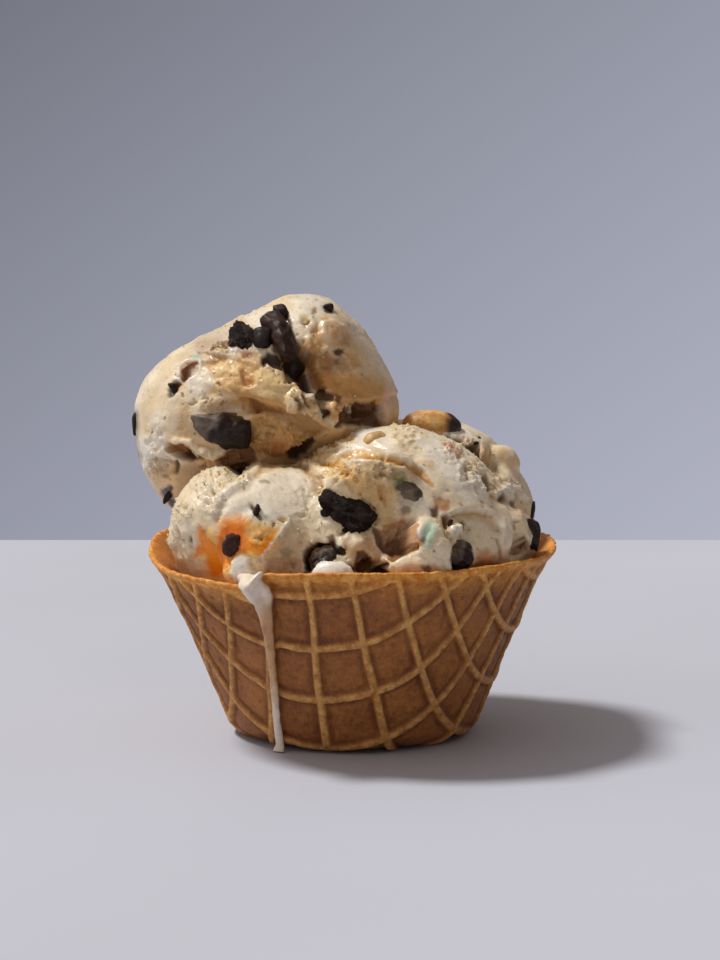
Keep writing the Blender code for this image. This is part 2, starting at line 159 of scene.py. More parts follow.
print("noise at three points:", noise(np.array([[0.3, 1.2, 2.0], [5.0, 1.1, 0.2], [9.9, 3.3, 1.5]]), 2.0))

# %% [markdown]
# Each piece is a grid of points whose two directions are its two parameters. A helper turns such a grid
# into a mesh in metres, closes it at its two ends, and stores colours and masks per point as attributes.

# %% Grids to meshes
def wrapped_quads(rows, columns):
    """Quads between the neighbouring rows of a grid whose columns close round: each point and the next."""
    row = np.arange(rows - 1)[:, None] * columns
    here = np.arange(columns)[None, :]
    beside = (here + 1) % columns
    four = [row + here, row + columns + here, row + columns + beside, row + beside]
    return np.stack(four, -1).reshape(-1, 4)


def fan(centre, ring, flip):
    """Triangles from one point to a closed ring of points."""
    after = np.roll(ring, -1)
    pair = (after, ring) if flip else (ring, after)
    return np.stack([np.full(len(ring), centre), *pair], -1)


def closed_grid(points, columns):
    """(quads, triangles) of a grid of rows of that many points, whose two end points come last."""
    rows = (len(points) - 2) // columns
    first, last = len(points) - 2, len(points) - 1
    ring = np.arange(columns)
    ends = [fan(first, ring, False), fan(last, ring + (rows - 1) * columns, True)]
    return wrapped_quads(rows, columns), np.concatenate(ends)


def face_normals_out(points, faces):
    """True if the closed surface's signed volume, by its faces' first triangles, is positive."""
    a, b, c = (points[faces[:, i]] for i in range(3))
    return np.einsum("ij,ij->i", a, np.cross(b, c)).sum() > 0


def outward_grid(points, columns):
    """The closed grid's faces, turned over if they would face inwards."""
    quads, triangles = closed_grid(points, columns)
    if face_normals_out(points, quads):
        return quads, triangles
    return quads[:, ::-1], triangles[:, ::-1]


def make_piece(name, points, quads, triangles=(), layers=None, smooth=True):
    """A mesh object at the origin from points in millimetres, with one attribute for each named layer."""
    mesh = bpy.data.meshes.new(name)
    faces = np.asarray(quads).tolist() + np.asarray(triangles).tolist()
    mesh.from_pydata((points * MM).tolist(), [], faces)
    for layer, values in (layers or {}).items():
        if values.ndim == 2:
            filled = np.concatenate([values, np.ones((len(values), 1))], axis=1)
            mesh.attributes.new(layer, "FLOAT_COLOR", "POINT").data.foreach_set("color", filled.ravel())
        else:
            mesh.attributes.new(layer, "FLOAT", "POINT").data.foreach_set("value", values)
    if smooth:
        mesh.shade_smooth()
    mesh.update()
    obj = bpy.data.objects.new(name, mesh)
    bpy.context.scene.collection.objects.link(obj)
    return obj


def dress(obj, finish, slot, node=None):
    """Gives a piece its material, lets it ride on the one body, and hides the solid it stands for; the slot
    is not used.
    """
    obj.data.materials.append(finish)
    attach(obj, "root")
    if node:
        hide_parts(node)
    print(f"{obj.name}: {len(obj.data.vertices)} points, {len(obj.data.polygons)} faces")
    return obj


def point_normals(points, quads, triangles=()):
    """Unit normals at the points: the faces' area vectors added up at their corners."""
    total = np.zeros_like(points)
    for faces in (np.asarray(quads), np.asarray(triangles)):
        if len(faces) == 0:
            continue
        across = points[faces[:, 2]] - points[faces[:, 0]]
        other = points[faces[:, -1]] - points[faces[:, 1]]
        area = np.cross(across, other)
        for corner in range(faces.shape[1]):
            for axis in range(3):
                total[:, axis] += np.bincount(faces[:, corner], area[:, axis], len(points))
    return total / np.maximum(np.linalg.norm(total, axis=1), 1e-9)[:, None]


def shade(red, green, blue):
    """A colour given from 0 to 255, as the linear light that shaders use: a gamma curve."""
    share = np.array([red, green, blue]) / 255.0
    return np.where(share < 0.04045, share / 12.92, ((share + 0.055) / 1.055) ** 2.4)


def laid_over(colour, tint, share):
    """The colour of each point moved towards the tint by that point's share."""
    return colour + (tint - colour) * np.clip(share, 0.0, 1.0)[:, None]


print("a cream colour in linear light:", shade(220, 208, 190).round(3))

# %% [markdown]
# A finish is a Principled shader with a few nodes in front of it. These helpers keep each finish short:
# one adds a node and sets it, one adds noise in the piece's own coordinates, and one stacks bumps.

# %% Finish helpers
def new_finish(name, **sockets):
    """A material with its Principled shader, whose plain numbers are set straight on the sockets."""
    finish = bpy.data.materials.new(name)
    finish.use_nodes = True
    shader = finish.node_tree.nodes["Principled BSDF"]
    for socket, value in sockets.items():
        shader.inputs[socket.replace("_", " ")].default_value = value
    return finish, finish.node_tree, shader


def add(tree, kind, inputs=None, **settings):
    """One node of that kind, with its settings, its input numbers, and links where inputs are sockets."""
    made = tree.nodes.new("ShaderNode" + kind)
    for setting, value in settings.items():
        setattr(made, setting, value)
    for socket, value in (inputs or {}).items():
        if isinstance(value, bpy.types.NodeSocket):
            tree.links.new(value, made.inputs[socket])
        else:
            made.inputs[socket].default_value = value
    return made


def own_place(tree):
    """The piece's own coordinates in metres."""
    return add(tree, "TexCoord").outputs["Object"]


def grain(tree, size_mm, detail=3.0, roughness=0.55):
    """Noise of that size in millimetres, in layers, as a socket."""
    per_metre = 1.0 / (size_mm * MM)
    inputs = {"Vector": own_place(tree), "Scale": per_metre, "Detail": detail, "Roughness": roughness}
    return add(tree, "TexNoise", inputs).outputs["Fac"]


def spread(tree, value, low, high, to_low=0.0, to_high=1.0):
    """The value stretched from one range to another and kept inside it."""
    inputs = {0: value, 1: low, 2: high, 3: to_low, 4: to_high}
    return add(tree, "MapRange", inputs).outputs[0]


def layer_of(tree, name, output="Fac"):
    """A number or a colour that the mesh stores at its points, as a socket."""
    return add(tree, "Attribute", attribute_name=name).outputs[output]


def blended(tree, share, first, second, way="MIX"):
    """Two colours mixed by a share."""
    made = add(tree, "Mix", data_type="RGBA", blend_type=way)
    for socket, value in ((0, share), (6, first), (7, second)):
        if isinstance(value, bpy.types.NodeSocket):
            tree.links.new(value, made.inputs[socket])
        elif socket:
            made.inputs[socket].default_value = (*value, 1.0)
        else:
            made.inputs[socket].default_value = value
    return made.outputs[2]


def toned(tree, colour, tone):
    """A colour made darker or lighter: each of its parts times the tone."""
    grey = add(tree, "CombineColor", {0: tone, 1: tone, 2: tone}).outputs[0]
    return blended(tree, 1.0, colour, grey, "MULTIPLY")


def reckon(tree, operation, first, second=0.0):
    """One sum on two numbers or sockets."""
    return add(tree, "Math", {0: first, 1: second}, operation=operation).outputs[0]


def bumps(tree, shader, *heights):
    """Bump nodes in a row, each (height socket, depth in mm, strength), the last into the shader."""
    normal = None
    for height, depth_mm, strength in heights:
        inputs = {"Height": height, "Distance": depth_mm * MM, "Strength": strength}
        if normal:
            inputs["Normal"] = normal
        normal = add(tree, "Bump", inputs).outputs["Normal"]
    tree.links.new(normal, shader.inputs["Normal"])


# %% [markdown]
# Floor, backdrop and light. The object stands on a pale table that ends 30 cm behind it, and above its
# edge is a grey wall, which the world's colour gives without a wall that other views would hit.
# A wide sun comes from the left and a little from behind, at about 60 degrees, and the world fills softly.

# %% Floor, backdrop and light
TABLE_EDGE = 305.0
TABLE_REACH = 1500.0
SUN_FROM = (-0.4755, 0.1545, 0.866)
SUN_STRENGTH = 2.65
SUN_WIDTH = math.radians(11.0)
FILL = (1.0, 0.88, 0.82)
FILL_LEFT, FILL_RIGHT = 0.54, 0.16
SUN_TINT = (1.0, 0.965, 0.92)
MOTTLE_SIZE = 240.0
TABLE_DULL, TABLE_PALE = shade(190, 195, 208), shade(195, 200, 214)
WALL_LOW = (shade(151, 153, 168), shade(178, 180, 196))
WALL_HIGH = (shade(117, 119, 130), shade(151, 154, 168))
WALL_LEFT, WALL_RIGHT = -0.13, 0.13
WALL_FOOT, WALL_TOP = -0.155, 0.02
FILL_SPAN = 0.9

table_mesh = bpy.data.meshes.new("table")
sides = (-TABLE_REACH, TABLE_REACH)
corners = [(x * MM, y * MM, 0.0) for x, y in
           ((sides[0], sides[0]), (sides[1], sides[0]), (sides[1], TABLE_EDGE), (sides[0], TABLE_EDGE))]
table_mesh.from_pydata(corners, [], [(0, 1, 2, 3)])
table = bpy.data.objects.new("table", table_mesh)
bpy.context.scene.collection.objects.link(table)
table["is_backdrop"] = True
table_finish, tree, shader = new_finish("pale_table", Roughness=0.62, Specular_IOR_Level=0.3)
mottle = spread(tree, grain(tree, MOTTLE_SIZE, 2.0), 0.35, 0.65)
tree.links.new(blended(tree, mottle, TABLE_DULL, TABLE_PALE), shader.inputs["Base Color"])
table_mesh.materials.append(table_finish)

sun_data = bpy.data.lights.new("sun", "SUN")
sun_data.energy = SUN_STRENGTH
sun_data.angle = SUN_WIDTH
sun_data.color = SUN_TINT
sun = bpy.data.objects.new("sun", sun_data)
sun.rotation_mode = "QUATERNION"
sun.rotation_quaternion = Vector(SUN_FROM).to_track_quat("Z", "Y")
bpy.context.scene.collection.objects.link(sun)

world = bpy.data.worlds.new("studio")
bpy.context.scene.world = world
world.use_nodes = True
tree = world.node_tree
tree.nodes.clear()
way = add(tree, "SeparateXYZ", {0: add(tree, "TexCoord").outputs["Generated"]})
# The wall seen behind is darker towards its top and its left: painted falloff of the light on it.
across = spread(tree, way.outputs["X"], WALL_LEFT, WALL_RIGHT)
upward = spread(tree, way.outputs["Z"], WALL_FOOT, WALL_TOP)
low = blended(tree, across, *WALL_LOW)
high = blended(tree, across, *WALL_HIGH)
wall = blended(tree, upward, low, high)
seen_wall = add(tree, "Background", {"Color": wall, "Strength": 1.0})
strength = spread(tree, way.outputs["X"], -FILL_SPAN, FILL_SPAN, FILL_LEFT, FILL_RIGHT)
soft_fill = add(tree, "Background", {"Color": (*FILL, 1.0), "Strength": strength})
is_seen = add(tree, "LightPath").outputs["Is Camera Ray"]
mixed = add(tree, "MixShader", {0: is_seen, 1: soft_fill.outputs[0], 2: seen_wall.outputs[0]})
add(tree, "OutputWorld", {"Surface": mixed.outputs[0]})
bpy.context.scene.view_settings.view_transform = "Standard"
print("sun from", SUN_FROM, "fill", FILL_LEFT, FILL_RIGHT)

# %% [markdown]
# The waffle bowl. A flat round waffle with a square net of ribs is pressed up over a form while it is
# soft, so its net keeps its size and only bends. Each point of the finished wall therefore has a place on
# the flat waffle: its walk from the centre and its bearing, which give the two coordinates across the net.

# %% Bowl profile
RIB_HEIGHT = 0.9
RIB_PITCH = 14.6
RIB_BEARING = -12.0
SHELL_THICKNESS = 2.0
FOOT_RADIUS = 25.8
HEEL_RADIUS = 6.0
WALL_RISE = math.radians(68.0)
WALL_LENGTH = 38.8
LIP_RADIUS = 15.0
LIP_RISE = math.radians(40.0)
HEEL_LENGTH = HEEL_RADIUS * WALL_RISE
LIP_LENGTH = LIP_RADIUS * (WALL_RISE - LIP_RISE)
DISC_RADIUS = FOOT_RADIUS + HEEL_LENGTH + WALL_LENGTH + LIP_LENGTH
GATHER, GATHERS, GATHER_BEARING = 3.0, 3, -8.0
GATHER_START, GATHER_FULL = 28.0, 50.0
CRACK_BEARING, CRACK_WIDTH = -27.0, 3.0
SAG_START, SAG_FULL = -98.0, -55.0
SAG_DROP, SAG_FLARE = 2.8, 1.2
RIM_WAVE = 0.4
SOFT_FROM, SOFT_TO = 18.0, 46.0


def on_bearing(bearing, radius, height):
    """Points by bearing in degrees from the front: x is radius times sine, y minus radius times cosine."""
    turn = np.radians(bearing)
    return np.stack(np.broadcast_arrays(radius * np.sin(turn), -radius * np.cos(turn), height), -1)


def profile(walk):
    """(radius, height, rise) of the skin at each walk: flat foot, round heel, straight wall, round lip."""
    heel = np.clip((walk - FOOT_RADIUS) / HEEL_RADIUS, 0.0, WALL_RISE)
    straight = np.clip(walk - FOOT_RADIUS - HEEL_LENGTH, 0.0, WALL_LENGTH)
    lip = np.clip((walk - DISC_RADIUS + LIP_LENGTH) / LIP_RADIUS, 0.0, WALL_RISE - LIP_RISE)
    rise = heel - lip
    past = np.maximum(walk - DISC_RADIUS, 0.0)
    radius = np.minimum(walk, FOOT_RADIUS) + HEEL_RADIUS * np.sin(heel) + straight * math.cos(WALL_RISE)
    height = RIB_HEIGHT + HEEL_RADIUS * (1 - np.cos(heel)) + straight * math.sin(WALL_RISE)
    bent = WALL_RISE - lip
    radius = radius + LIP_RADIUS * (math.sin(WALL_RISE) - np.sin(bent)) + past * math.cos(LIP_RISE)
    height = height + LIP_RADIUS * (np.cos(bent) - math.cos(WALL_RISE)) + past * math.sin(LIP_RISE)
    return radius, height, rise


def beside_profile(walk, out):
    """(radius, height) that far outside the skin, square to it."""
    radius, height, rise = profile(np.asarray(walk, float))
    return radius + out * np.sin(rise), height - out * np.cos(rise)


def soften_rim(points):
    """The rim's sag, flare and waves, which fade out down the wall: the same sums as in the solid."""
    bearing = np.degrees(np.arctan2(points[:, 0], -points[:, 1]))
    radius = np.hypot(points[:, 0], points[:, 1])
    share = smoothstep(SOFT_FROM, SOFT_TO, points[:, 2]) * (radius > FOOT_RADIUS)
    fall = smoothstep(SAG_START, SAG_FULL, bearing)
    step = 1.0 - smoothstep(CRACK_BEARING, CRACK_BEARING + CRACK_WIDTH, bearing)
    sag = fall * step * share
    turn = np.radians(bearing)
    wave = RIM_WAVE * share * (np.sin(3 * turn + 0.9) + 0.6 * np.sin(7 * turn + 2.0))
    spread_out = 1.0 + SAG_FLARE * sag / np.maximum(radius, 1.0)
    lifted = points[:, 2] + wave - SAG_DROP * sag
    return np.stack([points[:, 0] * spread_out, points[:, 1] * spread_out, lifted], -1)


rim_place = [round(float(number), 1) for number in beside_profile(DISC_RADIUS, 0.0)]
print("flat waffle radius:", round(DISC_RADIUS, 2), "rim's radius and height:", rim_place)

# %% [markdown]
# The net itself. Away from a rib's middle the surface falls off in a rounded shoulder to the pocket's
# floor, and where two ribs meet, a soft maximum of the two rounds the pocket's corners. The pockets'
# floors bulge a little and sink into a shallow ditch beside each rib, and small air holes and scars pit
# the whole skin.

# %% Waffle net
RIB_CREST = 0.50
RIB_FOOT = 1.40
SHOULDER_SHARE, SHOULDER_START, SHOULDER_END = 0.2, 1.7, 2.3
CORNER_ROUND = 0.35
NET_WOBBLE = 0.55
POCKET_BULGE = 0.24
DITCH_DEPTH = 0.30
DITCH_NEAR, DITCH_FAR = (0.9, 1.5), (1.6, 3.0)
SKIN_WAVE, SKIN_GRIT = 0.12, 0.05
HOLE_SIZE, HOLE_RARE, HOLE_DEPTH = 2.6, 0.62, 0.38
SCAR_SIZE, SCAR_DEPTH = 3.4, 0.22
FRONT_CROWD = 20.0
BOWL_COLUMNS = 520
OUTER_ROWS = 144
FOOT_ROWS = 22
INNER_ROWS = 20
RIM_STEPS = 7


def soft_max(a, b, width):
    """The larger of two heights, rounded up a little where they are within that width of each other."""
    share = np.clip(0.5 + 0.5 * (a - b) / width, 0.0, 1.0)
    return b + (a - b) * share + width * share * (1.0 - share) * 0.5


def ungathered(bearing, walk):
    """The bearing of a bowl's point on the flat waffle: the gathers' shift taken off, in four rounds."""
    share = smoothstep(GATHER_START, GATHER_FULL, walk)
    flat = bearing
    for _ in range(4):
        flat = bearing - GATHER * share * np.sin(np.radians(GATHERS * (flat - GATHER_BEARING)))
    return flat


def net_place(bearing, walk):
    """(u, v) on the flat waffle, with the small wander that the batter's flow and the pressing give."""
    flat = np.radians(ungathered(bearing, walk) - RIB_BEARING)
    u, v = walk * np.sin(flat), walk * np.cos(flat)
    place = np.stack([u, v, np.zeros_like(u)], -1)
    wander = NET_WOBBLE * smoothstep(20.0, 60.0, walk)
    return u + wander * noise(place, 17.0, 1), v + wander * noise(place, 17.0, 2)


def from_rib(across):
    """The distance from the middle of the nearest rib: what is left after whole pitches."""
    return np.abs(across - RIB_PITCH * np.round(across / RIB_PITCH))


def rib_height(across):
    """0 on the pocket's floor to 1 on the rib, by the distance from the nearest rib's middle."""
    to_rib = from_rib(across)
    shoulder = 1.0 - smoothstep(SHOULDER_START, SHOULDER_END, to_rib)
    crest = 1.0 - smoothstep(RIB_CREST, RIB_FOOT, to_rib)
    return (1.0 - SHOULDER_SHARE) * crest + SHOULDER_SHARE * shoulder


def pocket_swell(across):
    """0 at a rib's foot and 1 in the pocket's middle: a half sine across one pitch."""
    return np.abs(np.sin(np.pi * across / RIB_PITCH))


def make_bowl():
    """Outer skin with the net, a rounded rim, and the plain inner skin, on one grid of walk and bearing."""
    bearing = np.arange(BOWL_COLUMNS) * 360.0 / BOWL_COLUMNS - 180.0
    crowd = bearing - FRONT_CROWD * np.sin(np.radians(bearing))
    foot_walks = np.linspace(0.0, FOOT_RADIUS, FOOT_ROWS)[1:-1]
    wall_walks = np.linspace(FOOT_RADIUS, DISC_RADIUS, OUTER_ROWS - len(foot_walks))
    outer_walks = np.concatenate([foot_walks, wall_walks])
    walk, turn = (grid.ravel() for grid in np.meshgrid(outer_walks, crowd, indexing="ij"))
    u, v = net_place(turn, walk)
    rib = soft_max(rib_height(u), rib_height(v), CORNER_ROUND)
    rib = np.clip(rib, 0.0, 1.0)
    rough = np.stack([u, v, 0.4 * walk], -1)
    out = RIB_HEIGHT * rib + POCKET_BULGE * pocket_swell(u) * pocket_swell(v) * (1 - rib)
    out += SKIN_WAVE * layered(rough, 6.0, 3, 5) + SKIN_GRIT * noise(rough, 1.3, 9)
    beside = np.minimum(from_rib(u), from_rib(v))
    ditch_and_shade = smoothstep(*DITCH_NEAR, beside) * (1.0 - smoothstep(*DITCH_FAR, beside))
    ditch_and_shade = ditch_and_shade * smoothstep(FOOT_RADIUS, 26.0, walk)
    out -= DITCH_DEPTH * ditch_and_shade
    near, _, label = crumbs_at(rough, HOLE_SIZE, 3)
    holes = (label > HOLE_RARE) * (1.0 - smoothstep(0.08, 0.34, near)) * smoothstep(FOOT_RADIUS, 34.0, walk)
    out -= HOLE_DEPTH * holes
    scar = smoothstep(0.35, 0.7, layered(rough, SCAR_SIZE, 3, 21))
    out -= SCAR_DEPTH * scar * (1 - 0.6 * rib)
    rim = smoothstep(DISC_RADIUS - 3.2, DISC_RADIUS - 0.8, walk)
    out = out * (1 - 0.75 * rim) + 0.10 * rim
    flat_foot = smoothstep(FOOT_RADIUS - 1.0, FOOT_RADIUS + 4.0, walk)
    foot_most = RIB_HEIGHT * (1 - 0.04 * (1 - flat_foot))
    out = np.where(walk < FOOT_RADIUS + 4.0, np.minimum(out, foot_most), out)
    radius, height = beside_profile(walk, out)
    outer = on_bearing(turn, radius, height)

    arc = np.linspace(0.0, math.pi, RIM_STEPS + 2)[1:-1]
    half = SHELL_THICKNESS / 2
    rim_walks = DISC_RADIUS + 0.9 * np.sin(arc)
    rim_outs = (0.1 - 0.6 * half) + (0.1 + 0.6 * half) * np.cos(arc)
    floor_walks = np.linspace(FOOT_RADIUS, 0.0, 6)[1:-1]
    inner_walks = np.concatenate([np.linspace(DISC_RADIUS, FOOT_RADIUS, INNER_ROWS), floor_walks])
    walk_in = np.concatenate([rim_walks, inner_walks])
    inner_out = -SHELL_THICKNESS + 0.8 * smoothstep(DISC_RADIUS - 4.5, DISC_RADIUS, inner_walks)
    out_in = np.concatenate([rim_outs, inner_out])
    walk_grid, turn_in = (grid.ravel() for grid in np.meshgrid(walk_in, crowd, indexing="ij"))
    out_grid = np.repeat(out_in, BOWL_COLUMNS)
    rough_in = on_bearing(turn_in, walk_grid, 0.3 * out_grid)
    at_rim = smoothstep(DISC_RADIUS - 2.0, DISC_RADIUS + 0.5, walk_grid)
    radius, height = beside_profile(walk_grid + 0.35 * at_rim * layered(rough_in, 2.6, 3, 31),
                                    out_grid + 0.10 * layered(rough_in, 4.0, 3, 33))
    inner = on_bearing(turn_in, radius, height)

    foot_low = np.array([[0.0, 0.0, 0.0]])
    foot_high = np.array([[0.0, 0.0, RIB_HEIGHT + SHELL_THICKNESS]])
    points = soften_rim(np.concatenate([outer, inner, foot_low, foot_high]))
    quads, triangles = outward_grid(points, BOWL_COLUMNS)
    ribs = np.concatenate([rib, np.zeros(len(walk_grid)), [1.0, 0.0]])
    band = 0.45 * smoothstep(DISC_RADIUS - 9.0, DISC_RADIUS - 2.5, walk)
    band = band + 0.55 * smoothstep(DISC_RADIUS - 2.6, DISC_RADIUS - 0.6, walk)
    edge = np.concatenate([band, at_rim, [0.0, 0.0]])
    inside = np.concatenate([np.zeros(len(walk)), 1.0 - at_rim, [0.0, 1.0]])
    pits = np.concatenate([np.maximum(holes, scar * (1 - rib)), np.zeros(len(walk_grid) + 2)])
    # The ditch mask, made uneven, goes to the finish, which darkens it as painted shade beside the ribs.
    uneven = 0.55 + 0.45 * smoothstep(-0.3, 0.4, layered(rough, 7.0, 2, 41))
    ditch_and_shade = np.concatenate([ditch_and_shade * uneven, np.zeros(len(walk_grid) + 2)])
    layers = {"rib": ribs, "edge": edge, "inside": inside, "pits": pits, "ditch_and_shade": ditch_and_shade}
    return make_piece("waffle_bowl_baked", points, quads, triangles, layers)


# %% [markdown]
# Baked batter browns unevenly: the thin pocket floors go deep brown, the thick ribs stay paler, and the
# free rim catches the most heat and turns orange-brown. The masks of the mesh say which is which, and
# noise at three sizes breaks each colour up. The ditch beside each rib is darkened as painted shade.
# The gloss is low, with a slight sugar shine on the ribs.

# %% Waffle finish
POCKET_DARK, POCKET_LIGHT = shade(116, 62, 22), shade(180, 116, 56)
# The brown of the painted shade in the ditch beside each rib.
DITCH_SHADE_BROWN = shade(84, 42, 16)
RIB_DARK, RIB_LIGHT = shade(178, 120, 58), shade(226, 172, 102)
RIM_DARK, RIM_LIGHT = shade(218, 128, 34), shade(250, 190, 94)
INNER_DARK, INNER_LIGHT = shade(180, 112, 52), shade(216, 154, 90)
PIT_BROWN = shade(104, 56, 24)
STREAK_STRETCH = (1.0, 1.0, 0.16)
STREAKS_PER_METRE = 1500.0


def waffle_finish():
    """Pocket and rib browns by the rib mask, rim brown by the edge mask, each mixed by its own noise."""
    finish, tree, shader = new_finish("baked_waffle", Specular_IOR_Level=0.35)
    patches, specks = grain(tree, 16.0, 4.0), grain(tree, 2.2, 5.0, 0.65)
    fine = grain(tree, 0.7, 3.0, 0.6)
    drawn_out = add(tree, "VectorMath", {0: own_place(tree), 1: STREAK_STRETCH}, operation="MULTIPLY")
    inputs = {"Vector": drawn_out.outputs[0], "Scale": STREAKS_PER_METRE, "Detail": 3.0}
    streaks = add(tree, "TexNoise", inputs).outputs["Fac"]
    patch = spread(tree, patches, 0.35, 0.68)
    speck = spread(tree, specks, 0.38, 0.66)
    broad, small = reckon(tree, "MULTIPLY", patch, 0.55), reckon(tree, "MULTIPLY", speck, 0.45)
    browned = reckon(tree, "ADD", broad, small)
    pocket = blended(tree, browned, POCKET_DARK, POCKET_LIGHT)
    streak = spread(tree, streaks, 0.35, 0.7, 0.0, 0.32)
    pocket = blended(tree, streak, pocket, POCKET_LIGHT)
    # Painted shade: the pocket darkens to brown in the ditch beside each rib.
    in_ditch_shade = reckon(tree, "MULTIPLY", layer_of(tree, "ditch_and_shade"), 0.62)
    pocket = blended(tree, in_ditch_shade, pocket, DITCH_SHADE_BROWN)
    rib = blended(tree, speck, RIB_DARK, RIB_LIGHT)
    inner = blended(tree, patch, INNER_DARK, INNER_LIGHT)
    rim = blended(tree, speck, RIM_DARK, RIM_LIGHT)
    colour = blended(tree, spread(tree, layer_of(tree, "rib"), 0.30, 0.95), pocket, rib)
    colour = blended(tree, layer_of(tree, "inside"), colour, inner)
    at_edge = reckon(tree, "MULTIPLY", layer_of(tree, "edge"), 0.85)
    colour = blended(tree, at_edge, colour, rim)
    pitted = reckon(tree, "MULTIPLY", layer_of(tree, "pits"), 0.30)
    colour = blended(tree, pitted, colour, PIT_BROWN)
    sand = spread(tree, fine, 0.32, 0.68, 0.82, 1.14)
    tree.links.new(toned(tree, colour, sand), shader.inputs["Base Color"])
    tree.links.new(spread(tree, speck, 0.0, 1.0, 0.46, 0.68), shader.inputs["Roughness"])
    bumps(tree, shader, (specks, 0.6, 0.6), (streaks, 0.2, 0.5), (fine, 0.22, 0.7))
    return finish


dress(make_bowl(), waffle_finish(), "waffle", "waffle_bowl")

# %% [markdown]
# The scoops. A scoop is a ball of lumps squeezed together, so its rough form is a blend of ellipsoids
# with hollows taken out, the same ones as in the solid. Finer lobes, lips and caves are then added where
# the picture shows them: each is given by its picture point, how far it stands out towards the eye, its
# three half sizes in millimetres, its lean in the picture, and how sharply it meets what is round it.

# %% Scoop lobes
BLEND, HOLLOW_BLEND, BOTTOM_BLEND = 7.0, 3.0, 3.0
CLEARANCE = 0.4
REACH = 62.0
TRACE_STEPS = 60
TRACE_SHARE = 0.7
LEAST_REACH = 1.0
SIGHT_START, SIGHT_END = 620.0, 900.0
SIGHT_STEPS = 90
SIGHT_SHARE = 0.6
NEAR_ENOUGH = 0.02
SUNK_SHARE = 0.45
COLUMN_CROWD, ROW_CROWD = 0.46, 0.22

Lobe = namedtuple("Lobe", "sort px py out half lean blend")
Scoop = namedtuple("Scoop", "centre lobes hollows finer pole columns rows")

FRONT = Scoop(
    centre=(0.0, -8.0, 40.0),
    lobes=(
        ((-22.5, -16.0, 44.0), (23.0, 26.0, 25.5), (0, 0, 0)),
        ((10.0, -11.0, 44.0), (32.0, 31.0, 34.0), (0, 0, 0)),
        ((30.0, -10.0, 44.0), (17.0, 23.0, 16.0), (0, 0, 0)),
        ((0.0, 3.0, 27.0), (50.0, 48.0, 26.0), (0, 0, 0)),
        ((20.0, -35.0, 46.0), (8.0, 8.5, 10.0), (0, -25, 0)),
        ((-32.5, -18.0, 58.0), (9.0, 14.0, 9.5), (0, 0, 0)),
    ),
    hollows=(
        ((4.0, -44.0, 60.0), (15.0, 9.0, 9.0), (20, -12, 0)),
        ((9.5, -46.0, 49.0), (6.5, 8.0, 5.5), (0, 0, 0)),
        ((-6.5, -48.0, 46.5), (7.0, 6.5, 5.0), (0, 20, 0)),
        ((-8.0, -36.0, 70.0), (3.0, 9.0, 9.0), (-20, 25, 0)),
        ((-27.5, -14.0, 71.5), (2.6, 14.0, 5.5), (0, 0, 0)),
    ),
    finer=(
        Lobe("add", 372, 478, 1.0, (11.0, 6.0, 6.5), 12, 1.2),
        Lobe("cut", 400, 537, 1.0, (5.0, 4.2, 4.8), 0, 2.0),
        Lobe("add", 432, 548, 0.0, (4.6, 4.0, 7.5), 28, 2.2),
        Lobe("add", 415, 568, 2.0, (8.0, 5.0, 3.2), -14, 2.2),
        Lobe("cut", 373, 572, 1.0, (4.2, 6.0, 2.8), -8, 0.8),
        Lobe("add", 334, 574, 2.2, (6.4, 5.0, 3.4), 0, 1.6),
        Lobe("add", 356, 544, 0.5, (3.4, 4.0, 2.8), 30, 2.0),
        Lobe("cut", 318, 556, 1.0, (3.2, 5.0, 3.4), -40, 0.8),
        Lobe("cut", 241, 472, 0.0, (1.8, 9.0, 3.6), 12, 1.2),
        Lobe("cut", 517, 545, 0.5, (2.4, 4.5, 3.4), -20, 1.5),
        Lobe("add", 521, 526, 0.0, (1.6, 4.0, 5.0), 10, 1.5),
        Lobe("cut", 461, 557, 0.5, (2.4, 4.5, 3.4), 0, 1.0),
        Lobe("add", 244, 571, 0.8, (5.0, 4.0, 4.6), 0, 3.0),
    ),
    pole=(-20.0, 13.0, 22.0), columns=510, rows=192)

TOP = Scoop(
    centre=(-20.0, 9.0, 80.0),
    lobes=(
        ((-31.5, 9.0, 78.0), (23.5, 24.5, 23.0), (0, 0, 0)),
        ((-12.0, 9.0, 91.0), (16.0, 20.5, 17.8), (0, 0, 0)),
        ((-5.5, 9.5, 79.5), (17.0, 19.0, 15.5), (0, 0, 0)),
        ((-23.5, 9.0, 87.3), (17.0, 19.0, 16.0), (0, 0, 0)),
        ((-33.0, 9.0, 68.0), (18.0, 19.0, 18.0), (0, 0, 0)),
        ((-17.0, -10.0, 83.0), (15.0, 8.0, 6.5), (0, 22, 0)),
    ),
    hollows=(
        ((-12.0, -15.0, 93.0), (2.6, 7.0, 16.0), (0, -27, 0)),
        ((-15.0, -19.0, 72.5), (15.0, 8.0, 5.5), (0, 14, 0)),
        ((-40.0, -17.0, 66.0), (8.0, 5.0, 3.2), (0, 20, 0)),
    ),
    finer=(
        Lobe("cut", 236, 409, 0.3, (6.0, 2.2, 1.6), 8, 2.2),
        Lobe("add", 276, 432, 1.0, (7.5, 5.0, 5.5), -10, 1.6),
        Lobe("cut", 293, 372, 1.0, (2.0, 5.0, 6.5), -32, 0.8),
        Lobe("cut", 320, 404, 1.0, (1.1, 3.5, 3.4), -12, 0.6),
        Lobe("add", 300, 404, 0.5, (4.2, 3.5, 3.6), 0, 0.8),
        Lobe("add", 335, 408, 0.6, (2.4, 3.0, 3.6), 10, 0.8),
        Lobe("cut", 190, 371, 0.0, (2.2, 1.4, 1.6), 30, 1.2),
        Lobe("cut", 180, 451, 0.4, (4.0, 3.0, 1.6), -20, 0.8),
        Lobe("cut", 362, 407, 0.4, (5.4, 3.0, 1.4), 6, 1.0),
    ),
    pole=(-20.0, 17.0, 40.0), columns=450, rows=190)

